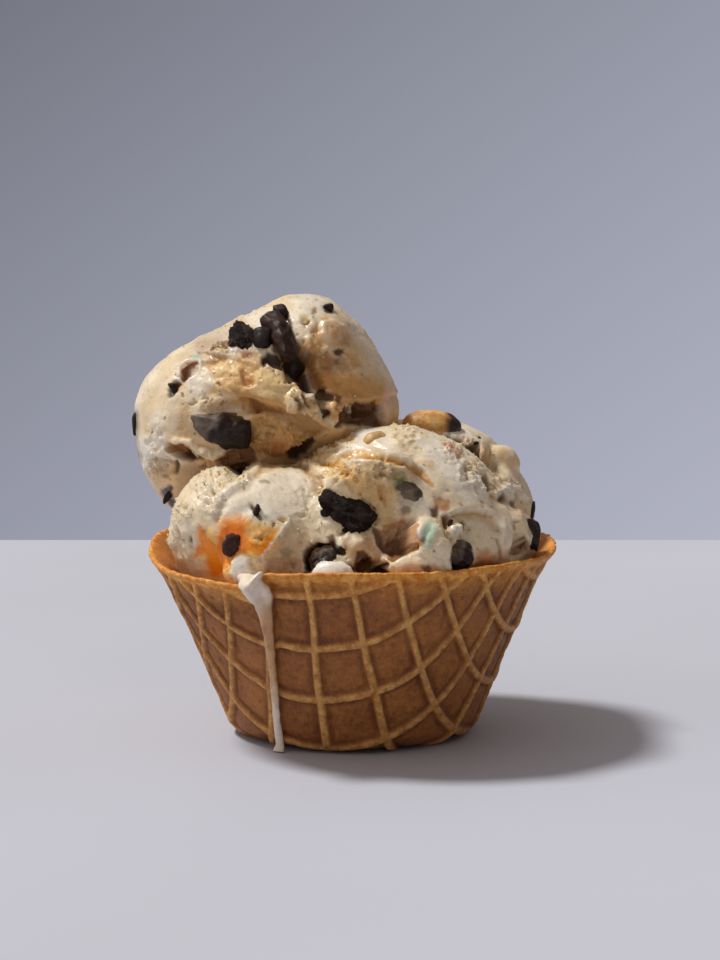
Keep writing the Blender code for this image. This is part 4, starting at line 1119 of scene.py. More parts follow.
TOP_AREAS = (
    area(0.7, "cream", 0.4, 322, 322, 334, 320, 344, 328, 342, 340, 330, 344, 320, 334),
    area(-0.6, "honey", 0.6, 312, 330, 318, 322, 322, 334, 326, 346, 320, 352, 312, 344),
    area(0.6, "butter", 0.5, 304, 338, 316, 336, 322, 348, 318, 358, 308, 352),
    area(-0.7, "amber", 0.5, 318, 356, 326, 352, 334, 360, 330, 370, 320, 368),
    area(-0.5, "caramel", 0.6, 344, 352, 356, 354, 364, 366, 352, 368),
    area(0.5, "butter", 0.4, 332, 360, 344, 362, 350, 374, 340, 380, 332, 372),
    area(0.0, "honey", 0.55, 296, 336, 312, 342, 324, 360, 336, 382, 348, 400, 334, 402, 318, 394, 306,
         372),
    area(0.0, "amber", 0.45, 312, 366, 330, 372, 350, 388, 366, 396, 350, 404, 330, 398, 318, 386),
    area(0.0, "caramel", 0.35, 340, 372, 372, 376, 388, 392, 378, 404, 352, 400),
    # Painted highlight: white on the upper left lobes.
    area(0.0, "white", 0.6, 186, 346, 206, 330, 226, 322, 240, 326, 236, 338, 214, 344, 196, 356),
    area(0.0, "white", 0.6, 352, 318, 364, 336, 376, 356, 388, 380, 378, 372, 364, 352, 350, 334),
    area(0.0, "white", 0.5, 290, 300, 306, 293, 322, 296, 330, 304, 318, 318, 300, 314),
    area(0.0, "white", 0.7, 138, 436, 166, 434, 172, 462, 150, 472, 140, 462),
    area(0.0, "caramel", 0.35, 206, 366, 240, 358, 254, 374, 244, 386, 214, 382),
    area(0.0, "tan", 0.45, 190, 334, 226, 328, 232, 346, 212, 354, 194, 350),
    area(0.0, "tan", 0.30, 176, 352, 196, 326, 240, 308, 258, 330, 240, 350, 215, 365, 190, 374, 176, 366),
    area(0.0, "butter", 0.75, 200, 366, 236, 360, 262, 374, 300, 398, 284, 406, 240, 394, 204, 394),
    area(0.0, "caramel", 0.25, 298, 330, 330, 306, 352, 316, 372, 350, 386, 386, 350, 396, 318, 380),
    area(0.0, "tan", 0.35, 196, 336, 212, 332, 222, 336, 214, 350, 202, 352, 195, 346),
    area(-0.9, "toffee", 0.9, 209, 347, 212, 343, 219, 342, 222, 337, 227, 338, 232, 342, 230, 346, 225,
         348, 217, 346, 211, 349),
    area(0.5, "white", 0.55, 228, 350, 229, 343, 236, 341, 240, 345, 238, 353, 231, 355),
    area(-0.2, "caramel", 0.5, 206, 367, 212, 358, 222, 357, 232, 359, 231, 363, 220, 364, 212, 369),
    area(0.0, "teal", 0.8, 191, 354, 195, 352, 200, 354, 199, 358, 193, 358),
    area(-1.0, "sienna", 0.9, 179, 366, 184, 362, 190, 360, 198, 361, 199, 364, 195, 370, 190, 376, 184,
         381, 180, 380, 183, 374, 180, 371),
    area(-0.5, "bark", 0.6, 183, 368, 188, 366, 189, 371, 186, 377, 183, 378),
    area(-0.8, "black", 0.9, 168, 389, 171, 384, 174, 382, 181, 382, 178, 386, 175, 390, 173, 396, 170, 399,
         168, 394),
    area(-0.3, "sienna", 0.7, 174, 384, 181, 383, 178, 390, 174, 395),
    area(0.3, "white", 0.5, 190, 372, 200, 364, 212, 370, 214, 384, 204, 394, 190, 392, 184, 384),
    area(-0.3, "caramel", 0.5, 214, 378, 226, 372, 240, 374, 246, 388, 262, 398, 246, 400, 226, 394),
    # Painted shade: caramel and toffee under the fold.
    area(-0.5, "caramel", 0.75, 230, 388, 244, 392, 262, 397, 280, 399, 287, 405, 286, 414, 276, 416, 264,
         413, 252, 411, 242, 404, 235, 396),
    area(-0.2, "toffee", 0.45, 246, 400, 262, 405, 282, 408, 284, 416, 270, 414, 254, 410),
    area(0.6, "butter", 0.4, 252, 374, 261, 367, 272, 368, 282, 373, 292, 380, 300, 387, 304, 393, 292, 392,
         278, 390, 264, 387, 256, 383),
    area(-0.3, "caramel", 0.55, 236, 356, 248, 353, 262, 352, 260, 360, 264, 366, 256, 374, 254, 384, 247,
         377, 243, 368, 238, 362),
    area(-1.0, "amber", 0.75, 240, 369, 245, 369, 248, 376, 252, 379, 255, 384, 249, 386, 244, 385, 242,
         378),
    area(-0.3, "sienna", 0.75, 240, 352, 248, 350, 252, 352, 250, 357, 244, 358),
    area(0.0, "amber", 0.7, 261, 316, 267, 315, 268, 319, 263, 321),
    area(0.3, "white", 0.75, 256, 323, 265, 320, 277, 321, 279, 330, 272, 331, 265, 327, 258, 328),
    area(-0.8, "umber", 0.95, 271, 316, 276, 306, 283, 304, 288, 312, 291, 322, 293, 335, 295, 350, 285,
         353, 274, 351, 272, 340, 277, 330, 278, 322),
    # Painted shade: umber in the deep lower furrow between the lobes.
    area(-1.5, "umber", 0.97, 262, 357, 268, 350, 276, 352, 284, 350, 293, 350, 298, 357, 303, 366, 307,
         375, 311, 384, 314, 393, 307, 395, 301, 390, 295, 383, 288, 376, 280, 371, 273, 366, 268, 363, 264,
         367, 261, 362),
    area(-0.3, "toffee", 0.75, 294, 340, 300, 346, 306, 353, 312, 346, 317, 345, 318, 356, 314, 368, 318,
         378, 325, 389, 320, 393, 313, 388, 308, 376, 303, 366, 298, 357),
    area(0.0, "caramel", 0.4, 310, 344, 316, 342, 318, 352, 314, 362, 310, 358),
    area(-0.2, "plum", 0.9, 325, 304, 331, 303, 335, 308, 333, 312, 328, 313, 324, 309),
    area(-0.1, "sienna", 0.8, 312, 308, 316, 306, 317, 312, 314, 315, 311, 313),
    area(-0.7, "butter", 0.9, 301, 317, 304, 315, 308, 317, 310, 321, 306, 324, 302, 322),
    area(0.0, "caramel", 0.35, 327, 324, 336, 323, 346, 330, 347, 340, 338, 346, 330, 345, 326, 335),
    area(0.0, "amber", 0.5, 330, 330, 336, 330, 337, 341, 331, 342),
    area(0.0, "sienna", 0.4, 340, 334, 349, 336, 350, 346, 343, 348, 338, 344),
    area(-0.3, "umber", 0.9, 333, 352, 338, 348, 344, 349, 344, 353, 338, 356, 334, 355),
    area(-0.2, "toffee", 0.6, 333, 359, 338, 358, 338, 364, 334, 365),
    area(0.0, "toffee", 0.5, 305, 358, 320, 352, 340, 358, 350, 370, 330, 376, 318, 378, 310, 370),
    # Painted shade: warm caramel low on the right lobe, for light glowing through shaded cream.
    area(0.0, "caramel", 0.7, 316, 374, 345, 373, 372, 384, 389, 392, 384, 404, 350, 404, 345, 396, 330,
         392, 320, 386),
    area(-0.6, "bark", 0.8, 318, 391, 330, 392, 342, 396, 343, 403, 334, 399, 325, 400, 319, 398),
    # Painted shade: bark at the right lobe's base.
    area(-1.6, "bark", 0.95, 344, 407, 360, 405, 383, 404, 385, 418, 383, 430, 360, 426, 345, 426, 336, 428,
         342, 415),
    area(0.3, "caramel", 0.7, 325, 401, 334, 399, 343, 402, 343, 414, 338, 418, 330, 417, 326, 410),
    # Painted shade: umber in the dark gap beside the lower curl.
    area(-1.6, "umber", 0.95, 318, 391, 322, 393, 324, 402, 328, 413, 324, 418, 320, 412, 317, 402),
    area(0.2, "blush", 0.55, 384, 380, 392, 378, 397, 390, 398, 400, 393, 408, 391, 418, 389, 426, 384, 426,
         381, 412, 382, 402),
    area(0.7, "cream", 0.7, 312, 410, 315, 406, 318, 404, 321, 408, 322, 414, 318, 417, 313, 415),
    area(-0.9, "umber", 0.95, 293, 396, 298, 396, 301, 399, 298, 402, 294, 400),
    area(-1.0, "bark", 0.85, 297, 402, 301, 401, 303, 408, 301, 413, 298, 412),
    # Painted shade: toffee under the fold, down to the chunk.
    area(-0.7, "toffee", 0.55, 250, 404, 262, 408, 276, 411, 286, 412, 300, 414, 312, 418, 322, 424, 330,
         430, 316, 437, 306, 437, 300, 431, 290, 427, 278, 422, 268, 416, 256, 412),
    area(0.3, "caramel", 0.8, 253, 414, 262, 413, 270, 416, 276, 421, 286, 426, 296, 429, 303, 435, 306,
         437, 298, 447, 288, 455, 272, 457, 262, 452, 254, 454, 250, 446, 252, 436, 254, 424),
    area(0.0, "sienna", 0.65, 262, 441, 272, 438, 284, 442, 286, 452, 270, 456, 260, 450),
    area(-1.2, "umber", 0.9, 287, 453, 292, 448, 300, 446, 306, 440, 312, 438, 316, 442, 304, 455, 296, 460,
         288, 458),
    # Painted shade: toffee and umber under the chunk, over crumbly cream.
    area(-0.9, "toffee", 0.9, 216, 458, 226, 451, 238, 446, 251, 446, 257, 454, 258, 462, 250, 470, 247,
         480, 234, 480, 226, 474, 220, 466),
    area(-0.6, "umber", 0.8, 228, 466, 240, 464, 252, 466, 250, 482, 228, 482),
    # Painted shade: caramel left of the chunk.
    area(0.0, "caramel", 0.5, 181, 400, 188, 404, 190, 412, 188, 441, 182, 441, 178, 425),
    area(0.9, "cream", 0.8, 168, 441, 180, 438, 190, 440, 200, 446, 214, 449, 226, 448, 223, 455, 216, 459,
         208, 461, 200, 458, 194, 450, 188, 445, 178, 443),
    # Painted shade: amber under the lip.
    area(-1.1, "amber", 0.75, 171, 449, 176, 445, 184, 445, 190, 448, 196, 456, 200, 461, 192, 460, 184,
         457, 176, 456),
    area(-0.7, "bark", 0.8, 188, 449, 193, 450, 200, 459, 196, 461, 189, 455),
    area(-1.3, "umber", 0.95, 174, 462, 177, 460, 180, 464, 179, 469, 176, 474, 173, 474, 174, 468),
    area(-0.2, "tan", 0.6, 148, 460, 160, 457, 172, 462, 174, 474, 164, 478, 152, 472),
    # Partly caramel colour, partly painted shade: tan on the smooth zone below the lip.
    area(0.0, "tan", 0.7, 180, 466, 194, 464, 212, 466, 206, 480, 196, 492, 184, 500, 176, 496, 176, 480),
    area(-0.3, "plum", 0.97, 160, 491, 166, 488, 171, 484, 173, 487, 171, 492, 171, 499, 177, 506, 173, 508,
         168, 503, 163, 498),
    area(0.0, "plum", 0.85, 133, 411, 137, 412, 138, 424, 137, 430, 136, 440, 138, 450, 141, 461, 137, 461,
         132, 450, 129, 440, 129, 432, 132, 424),
)
TOP_LINES = (
    line(0.4, -0.3, "toffee", 0.8, 217, 384, 220, 386), line(0.3, -0.2, "toffee", 0.6, 219, 391),
    line(0.4, -0.2, "toffee", 0.5, 231, 375), line(0.25, -0.3, "toffee", 0.8, 165, 417, 165, 420),
    line(0.3, -0.2, "toffee", 0.6, 162, 432), line(0.4, -0.3, "toffee", 0.8, 182, 394, 183, 397),
    line(0.3, -0.1, "moss", 0.5, 148, 391), line(0.3, -0.6, "black", 0.95, 304, 322, 307, 323, 309, 320),
    line(0.5, -0.2, "toffee", 0.6, 298, 335), line(0.35, 0.0, "toffee", 0.55, 307, 299),
    line(0.35, 0.0, "toffee", 0.55, 317, 299), line(0.3, 0.0, "moss", 0.5, 298, 295),
    line(0.5, 0.0, "caramel", 0.6, 322, 320, 327, 320), line(0.25, -0.2, "toffee", 0.6, 326, 353),
    line(0.4, 0.0, "caramel", 0.5, 311, 326, 313, 329), line(0.3, -0.2, "umber", 0.8, 347, 405),
    line(0.5, -0.3, "tan", 0.5, 190, 404, 196, 402), line(0.5, -0.3, "tan", 0.5, 206, 403, 212, 400),
    line(0.5, -0.4, "toffee", 0.5, 222, 405, 226, 403), line(0.6, -0.5, "tan", 0.6, 284, 384, 290, 384),
    line(0.8, 0.3, "cream", 0.6, 306, 392, 312, 396),
    line(0.5, -0.7, "toffee", 0.8, 303, 394, 308, 402, 309, 408),
    line(0.4, -0.4, "tan", 0.6, 164, 450, 168, 452), line(0.5, -0.3, "tan", 0.5, 150, 466, 162, 470),
    line(0.5, 0.2, "butter", 0.8, 212, 366, 222, 362, 230, 361),
    line(0.4, -0.3, "toffee", 0.45, 206, 352, 210, 353),
    line(0.6, -0.2, "toffee", 0.45, 268, 425, 272, 426), line(0.5, -0.2, "toffee", 0.5, 267, 433, 270, 434),
)
TOP_LEDGES = (
    (15, 0.6, 200, 350, 222, 355, 246, 362, 262, 368, 284, 374, 302, 388, 316, 402),
    (14, 0.7, 214, 388, 236, 396, 256, 402, 276, 405, 290, 414),
    (9, 0.7, 165, 441, 182, 443, 196, 452, 208, 460, 228, 458),
    (12, 0.9, 322, 393, 345, 401, 366, 403, 390, 395),
    (12, 0.6, 176, 384, 190, 378, 204, 362, 216, 356),
)
TOP_TORN = (
    (304, 403, 4.8), (160, 466, 4.5), (235, 460, 4.5), (210, 463, 4.0), (270, 428, 4.5), (290, 438, 4.5),
    (262, 446, 4.0), (218, 348, 3.5), (185, 372, 2.5), (345, 412, 4.0), (300, 440, 3.0), (312, 412, 3.0),
    (205, 404, 3.0), (150, 350, 2.0),
)

BACK_AREAS = (
    # Painted shade: umber in the gap between the front scoop and the back scoop.
    area(-1.5, "umber", 0.92, 400, 424, 418, 428, 440, 433, 452, 436, 462, 439, 470, 444, 478, 448, 480,
         456, 484, 466, 481, 474, 474, 470, 468, 462, 462, 455, 454, 447, 446, 441, 420, 436, 400, 430),
    area(-0.4, "sienna", 0.5, 464, 436, 476, 442, 486, 458, 488, 470, 480, 460, 472, 450),
    area(0.0, "caramel", 0.6, 478, 450, 484, 445, 491, 452, 488, 464, 481, 460),
    area(0.0, "moss", 0.6, 490, 466, 497, 463, 504, 468, 502, 474, 493, 473),
    area(0.0, "blush", 0.45, 500, 446, 510, 452, 518, 466, 524, 484, 514, 480, 506, 466, 498, 454),
    area(0.0, "butter", 0.5, 490, 444, 504, 446, 514, 458, 506, 462, 494, 456),
    area(0.4, "white", 0.6, 504, 484, 512, 480, 522, 488, 528, 500, 516, 498, 506, 494),
)
BACK_LINES = (
    line(0.5, -0.3, "umber", 0.85, 475, 444, 478, 444), line(0.4, -0.3, "umber", 0.8, 479, 438),
    line(0.5, -0.2, "tan", 0.5, 500, 478, 512, 484), line(0.3, -0.2, "toffee", 0.5, 493, 447),
    line(0.5, 0.2, "white", 0.5, 487, 452),
)
BACK_LEDGES = ((10, 0.6, 466, 440, 478, 452, 486, 470),)
BACK_TORN = ((492, 474, 3.0), (470, 450, 3.0), (515, 492, 3.0))
print(len(FRONT_AREAS), "areas in front,", len(TOP_AREAS), "on top,", len(BACK_AREAS), "behind")

# %% [markdown]
# A scoop's surface in four coats: the blended lobes; broad lumps, where the spoon pulled; ledges and
# marks; and last the torn parts, where cream came away and left crumbs. The coats add up to one rise
# along the normal, and noise frays every edge. The sides that turn from the sun get painted shade in
# honey, what lies lower than its surroundings gets painted shade in honey brown, and what stands higher
# gets a painted highlight in white. The sides that the picture doesn't show get marks of the same
# kinds, drawn at random from a fixed seed.

# %% Scoop surfaces
LUMP, LUMP_SIZE = 0.42, 10.0
FINE_LUMP, FINE_LUMP_SIZE = 0.15, 3.0
CRUMBLE = 0.75
CRUMB_SIZE, GRAIN_SIZE = 1.5, 0.8
PER_MM = 4.15
FRAY, FRAY_SIZE = 1.5, 2.2
PORE_SIZE, PORE_DEPTH = 1.9, 0.28
MARGIN = 14.0
ROUNDING = 3.2
RIM_FROM, RIM_TO = 40.0, 46.0
FACING_FROM, FACING_TO = -0.30, -0.05
TORN_PATCH, WARM_PATCH, PALE_PATCH = 15.0, 13.0, 9.0
WARM_SHARE, PALE_SHARE = 0.32, 0.45
# Shares of painted shade in hollows and of a painted highlight on crests.
HOLLOW_SHADE_HONEY, HOLLOW_SHADE_TOFFEE, CREST_HIGHLIGHT_WHITE = 0.50, 0.45, 0.30
TORN_BUTTER, PORE_TOFFEE = 0.22, 0.45
FLECK_SIZE, FLECK_SHARE = 4.4, 0.6
# Share of painted shade in honey on each scoop's side away from the sun.
SHADE_SIDE_GOLDEN = {"front": 0.25, "top": 0.75, "back": 0.6}
DENTS = {"top": (((-40.0, 9.0, 100.0), 24.0, -2.3), ((7.0, 9.0, 95.0), 14.0, 1.0)), "front": (), "back": ()}
HIDDEN_MARKS = {"front": 30, "top": 36, "back": 28}
HIDDEN_KINDS = (
    ("umber", -0.7, 1.1), ("toffee", -0.9, 1.8), ("caramel", -0.6, 2.6), ("amber", -0.4, 2.0),
    ("moss", 0.0, 1.2), ("white", 0.5, 3.0),
)


def towards_eye(points, normals):
    """The cosine between each normal and the way to the eye: their product over that way's length."""
    way = EYE - points
    return np.einsum("ij,ij->i", normals, way) / np.linalg.norm(way, axis=1)


def covered(place, shape, shown):
    """The points that face the eye and whose picture place is within a margin of the shape's bounds."""
    low, high = shape.min(0) - MARGIN, shape.max(0) + MARGIN
    return np.flatnonzero(np.all((place > low) & (place < high), axis=1) & (shown > 0.0))


def lay_feature(feature, place, shown, height, colour, cover):
    """Adds one area's or line's height and stain to the points it covers, by an S-curve across its edge."""
    is_area = isinstance(feature, Area)
    shape = feature.corners if is_area else feature.points
    near = covered(place, shape, shown)
    gap = picture_gap(place[near], shape, closed=is_area)[0]
    if is_area:
        inward = np.where(inside_outline(place[near], shape), gap, -gap)
        share = smoothstep(-feature.soft, feature.soft, inward)
        lifted = smoothstep(-0.8 * ROUNDING, ROUNDING, inward)
    else:
        half = feature.half * PER_MM
        share = lifted = 1.0 - smoothstep(half * (1.0 - feature.soft), half * 1.15, gap)
    share = share * shown[near]
    height[near] += feature.height * lifted * shown[near]
    colour[near] = laid_over(colour[near], STAINS[feature.stain], feature.strength * share)
    cover[near] = np.maximum(cover[near], feature.strength * share)


def lay_ledge(ledge, place, shown, height, colour):
    """Raises a line's upper side and sinks its lower side, both fading out, and paints caramel shade under
    it.
    """
    reach, lift, shape = ledge[0], ledge[1], np.reshape(ledge[2:], (-1, 2)).astype(float)
    near = covered(place, shape, shown)
    gap, below = picture_gap(place[near], shape)
    fade = (1.0 - smoothstep(0.25 * reach, reach, gap)) * shown[near]
    above = smoothstep(-2.2, 2.2, -below)
    height[near] += lift * fade * (above - 0.55)
    # Painted shade: caramel on the lower side, under the fold.
    colour[near] = laid_over(colour[near], STAINS["caramel"], 0.4 * fade * (1.0 - above))


def hidden_marks(points, normals, count, seed):
    """(start, end, half width, height, stain) of marks drawn on points that face away from the eye."""
    draw = np.random.default_rng(seed)
    away = np.flatnonzero((towards_eye(points, normals) < 0.05) & (points[:, 2] > 47.0))
    chosen = draw.choice(away, count, replace=False)
    for index, kind in zip(chosen, draw.integers(0, len(HIDDEN_KINDS), count)):
        stain, height, half = HIDDEN_KINDS[kind]
        drift = draw.normal(size=3)
        drift -= normals[index] * (drift @ normals[index])
        drift *= draw.uniform(0.5, 6.0) / np.linalg.norm(drift)
        yield points[index], points[index] + drift, half * draw.uniform(0.6, 1.3), height, stain


def gap_to_piece(points, start, end):
    """The distance from each point to a straight piece."""
    step = end - start
    share = np.clip((points - start) @ step / max(step @ step, 1e-9), 0.0, 1.0)
    return np.linalg.norm(points - start - share[:, None] * step, axis=1)


def local_mean(values, columns, reach=3):
    """Each grid value's mean over the square of its neighbours: shifted copies of the grid, added up."""
    grid = values[:-2].reshape(-1, columns)
    steps = range(-reach, reach + 1)
    total = sum(np.roll(grid, (i, j), (0, 1)) for i in steps for j in steps)
    return np.concatenate([(total / len(steps) ** 2).ravel(), values[-2:]])


def make_scoop(name, scoop, areas, lines, ledges, torn_spots, seed):
    """The lobes' points moved along their normals by lumps, ledges, marks and crumbs, and their colours."""
    points = scoop_points(scoop)
    quads, triangles = outward_grid(points, scoop.columns)
    normals = point_normals(points, quads, triangles)
    bare = points.copy()
    above_rim = smoothstep(RIM_FROM, RIM_TO, points[:, 2])
    shown = smoothstep(FACING_FROM, FACING_TO, towards_eye(bare, normals))
    warp = np.stack([layered(bare, 3.0, 3, seed + 11 + i) for i in range(3)], -1)
    fray = np.stack([layered(bare, FRAY_SIZE, 3, seed + 31 + i) for i in range(2)], -1)
    place = projected(bare) + FRAY * fray

    torn = np.zeros(len(points))
    edge_wander = 1.3 * layered(bare, 5.0, 3, seed + 3)
    for px, py, half in torn_spots:
        gap = np.hypot(place[:, 0] - px, place[:, 1] - py) / PER_MM + edge_wander
        torn = np.maximum(torn, shown * (1.0 - smoothstep(0.5 * half, half, gap)))
    patches = layered(bare, TORN_PATCH, 3, seed + 5)
    torn = np.maximum(torn, 0.8 * smoothstep(0.30, 0.52, patches) * (1.0 - 0.55 * shown))

    colour = np.tile(STAINS["cream"], (len(points), 1))
    warm = smoothstep(-0.2, 0.7, layered(bare, WARM_PATCH, 3, seed + 7))
    colour = laid_over(colour, STAINS["butter"], WARM_SHARE * warm)
    pale = smoothstep(0.05, 0.6, layered(bare, PALE_PATCH, 2, seed + 9))
    colour = laid_over(colour, STAINS["white"], PALE_SHARE * pale)
    # Painted shade: where a normal turns from the sun, the cream goes golden honey, by a share per scoop.
    sunward = normals @ np.array(SUN_FROM)
    shaded = 1.0 - smoothstep(-0.40, 0.30, sunward)
    colour = laid_over(colour, STAINS["honey"], SHADE_SIDE_GOLDEN[name] * 0.75 * shaded)
    height = np.zeros(len(points))
    for centre, width, depth in DENTS[name]:
        height += depth * (1.0 - smoothstep(0.15 * width, width, np.linalg.norm(bare - centre, axis=1)))
    for ledge in ledges:
        lay_ledge(ledge, place, shown, height, colour)
    for start, end, half, depth, stain in hidden_marks(bare, normals, HIDDEN_MARKS[name], seed):
        gap = gap_to_piece(bare + 0.75 * warp, start, end)
        share = 1.0 - smoothstep(0.4 * half, 1.15 * half, gap)
        height += depth * share
        colour = laid_over(colour, STAINS[stain], 0.7 * share)
    cover = np.zeros(len(points))
    for feature in areas + lines:
        lay_feature(feature, place, shown, height, colour, cover)
    bareness = 1.0 - 0.85 * cover

    near, _, label = crumbs_at(bare + 0.3 * warp, CRUMB_SIZE, seed)
    grains = crumbs_at(bare + 0.2 * warp, GRAIN_SIZE, seed + 2)[0]
    deep = smoothstep(0.25, 0.75, layered(bare, 2.3, 3, seed + 15))
    crumble = CRUMBLE * (0.62 - near) * (0.4 + label) + 0.34 * (0.5 - grains)
    crumble = crumble + 0.4 * layered(bare, 1.6, 2, seed + 13) - 0.8 * deep
    pore, _, pored = crumbs_at(bare + 0.4 * warp, PORE_SIZE, seed + 4)
    pores = (pored > 0.66) * (1.0 - smoothstep(0.10, 0.34, pore))
    lumps = LUMP * layered(bare, LUMP_SIZE, 2, seed)
    lumps = lumps + FINE_LUMP * layered(bare, FINE_LUMP_SIZE, 2, seed + 1)
    silk = 0.05 * layered(bare, 1.2, 2, seed + 17) - PORE_DEPTH * pores
    rise = lumps + height + silk + crumble * torn
    skew = normals + 0.35 * warp * torn[:, None]
    points = points + skew * (rise * above_rim)[:, None]

    # Painted shade in hollows and a painted highlight on crests, by how far each point lies below its
    # neighbours' mean.
    hollow = local_mean(rise, scoop.columns) - rise
    near, _, flecked = crumbs_at(bare, FLECK_SIZE, seed + 21)
    fleck = (flecked > 0.66) * (1.0 - smoothstep(0.05, 0.12, near))
    for stain, share in (
        ("honey", HOLLOW_SHADE_HONEY * bareness * smoothstep(0.12, 0.55, hollow)),
        ("toffee", HOLLOW_SHADE_TOFFEE * smoothstep(0.40, 0.95, hollow)),
        ("white", CREST_HIGHLIGHT_WHITE * bareness * smoothstep(0.08, 0.45, -hollow)),
        ("butter", TORN_BUTTER * torn * bareness),
        ("toffee", PORE_TOFFEE * pores * (1.0 - torn) * bareness),
        ("toffee", FLECK_SHARE * fleck * bareness),
    ):
        colour = laid_over(colour, STAINS[stain], share)
    normals = point_normals(points, quads, triangles)
    torn = torn * above_rim
    piece = make_piece("cream_" + name, points, quads, triangles, {"cream_colour": colour, "torn": torn})
    return piece, points, normals, torn, colour

# %% [markdown]
# Ice cream scatters light below its skin, so shaded folds glow warm instead of going grey. Its skin is
# wet and fairly glossy where it is smooth, with icy crystals that glint, and dull where it is torn. The
# colour comes from the mesh's own layer, broken up by fine noise.

# %% Cream finish
SCATTER_WEIGHT = 0.22
SCATTER_RADIUS = (1.0, 0.55, 0.30)
SCATTER_SCALE = 0.0012


def cream_finish():
    """Stored colour times fine noise; roughness and bumps by the torn mask; light scattered inside."""
    finish, tree, shader = new_finish("ice_cream", Specular_IOR_Level=0.32, Coat_Weight=0.2,
                                      Coat_Roughness=0.1, Subsurface_Weight=SCATTER_WEIGHT,
                                      Subsurface_Scale=SCATTER_SCALE)
    shader.inputs["Subsurface Radius"].default_value = SCATTER_RADIUS
    torn = layer_of(tree, "torn")
    crystals, crumb = grain(tree, 0.55, 3.0, 0.7), grain(tree, 1.3, 4.0, 0.65)
    clouds = grain(tree, 5.0, 3.0)
    tone = spread(tree, clouds, 0.3, 0.7, 0.90, 1.05)
    speckle = spread(tree, crystals, 0.35, 0.65, 0.90, 1.06)
    tone = reckon(tree, "MULTIPLY", tone, speckle)
    colour = toned(tree, layer_of(tree, "cream_colour", "Color"), tone)
    tree.links.new(colour, shader.inputs["Base Color"])
    smooth_gloss = spread(tree, crystals, 0.35, 0.7, 0.52, 0.22)
    gloss = reckon(tree, "ADD", smooth_gloss, reckon(tree, "MULTIPLY", torn, 0.2))
    tree.links.new(gloss, shader.inputs["Roughness"])
    rough_torn = reckon(tree, "MULTIPLY", crumb, reckon(tree, "ADD", torn, 0.22))
    bumps(tree, shader, (rough_torn, 0.8, 0.75), (crystals, 0.25, 0.45))
    return finish


cream = cream_finish()
made_scoops = {}
for name, scoop, areas, lines, ledges, torn_spots, seed in (
    ("front", FRONT, FRONT_AREAS, FRONT_LINES, FRONT_LEDGES, FRONT_TORN, 100),
    ("top", TOP, TOP_AREAS, TOP_LINES, TOP_LEDGES, TOP_TORN, 200),
    ("back", BACK, BACK_AREAS, BACK_LINES, BACK_LEDGES, BACK_TORN, 300),
):
    piece, *made_scoops[name] = make_scoop(name, scoop, areas, lines, ledges, torn_spots, seed)
    dress(piece, cream, "ice_cream", "scoop_" + name)

# %% [markdown]
# Where cream has torn, loose crumbs of it stay behind. Each crumb is a small lump with twenty faces,
# turned and stretched at random and sunk in by about a third, and all of them are one mesh.

# %% Cream crumbs
CRUMB_COUNTS = {"front": 950, "top": 520, "back": 260}
CRUMB_WIDTHS = (0.22, 0.75)
CRUMB_SUNK = 0.3


def twenty_faces():
    """An icosahedron: 12 corners, (0, 1, golden) in all turns and signs, and 20 faces of near corners."""
    golden = (1 + math.sqrt(5)) / 2
    signs = [(i, j) for i in (-1, 1) for j in (-1, 1)]
    corners = np.array([np.roll((0.0, i, j * golden), turn) for turn in range(3) for i, j in signs])
    near = np.isclose(np.linalg.norm(corners[:, None] - corners[None, :], axis=2), 2.0)
    triples = [(a, b, c) for a in range(12) for b in range(a + 1, 12) for c in range(b + 1, 12)
               if near[a, b] and near[b, c] and near[a, c]]
    faces = np.array(triples)
    a, b, c = (corners[faces[:, i]] for i in range(3))
    inward = np.einsum("ij,ij->i", np.cross(b - a, c - a), a + b + c) < 0
    faces[inward] = faces[inward][:, ::-1]
    return corners / math.hypot(1, golden), faces


def make_crumbs():
    """Small lumps on the torn cream: each a stretched, turned icosahedron, sunk by a share of its width."""
    draw = np.random.default_rng(71)
    spots, outs, tints = [], [], []
    for name, (points, normals, torn, colour) in made_scoops.items():
        weight = (0.06 + torn) * (points[:, 2] > 47.5) * (colour[:, 0] > 0.42)
        chosen = draw.choice(len(points), CRUMB_COUNTS[name], replace=False, p=weight / weight.sum())
        spots.append(points[chosen])
        outs.append(normals[chosen])
        tints.append(colour[chosen])
    spots, outs, tints = (np.concatenate(rows) for rows in (spots, outs, tints))
    count = len(spots)
    corners, faces = twenty_faces()
    width = CRUMB_WIDTHS[0] + (CRUMB_WIDTHS[1] - CRUMB_WIDTHS[0]) * draw.uniform(0, 1, count) ** 2
    frames = np.linalg.qr(draw.normal(size=(count, 3, 3)))[0]
    shapes = corners[None] * draw.uniform(0.6, 1.1, (count, 1, 3))
    shapes = shapes * draw.uniform(0.85, 1.15, (count, 12, 1))
    shapes = np.einsum("nij,njk->nik", shapes, frames) * (width / 2)[:, None, None]
    middles = spots + outs * (width * (0.5 - CRUMB_SUNK))[:, None]
    points = (middles[:, None] + shapes).reshape(-1, 3)
    flipped = np.linalg.det(frames) < 0
    all_faces = faces[None] + 12 * np.arange(count)[:, None, None]
    all_faces[flipped] = all_faces[flipped][:, :, ::-1]
    share = draw.uniform(0.2, 0.9, count)
    tint = laid_over(tints, STAINS["cream"], share)
    layers = {"cream_colour": np.repeat(tint, 12, axis=0), "torn": np.full(12 * count, 0.6)}
    return make_piece("cream_crumbs", points, all_faces.reshape(-1, 3), layers=layers)


dress(make_crumbs(), cream, "ice_cream")

# %% [markdown]
# The sweets in the cream: broken cookie, broken chocolate, sugar-coated chocolate and nuts. Each lies
# where its solid lies: on the way from the scoop's centre at a bearing and a rise, sunk in a little. A
# broken piece is a squared ball cut by nine flat planes, so its reach is the nearest plane's.

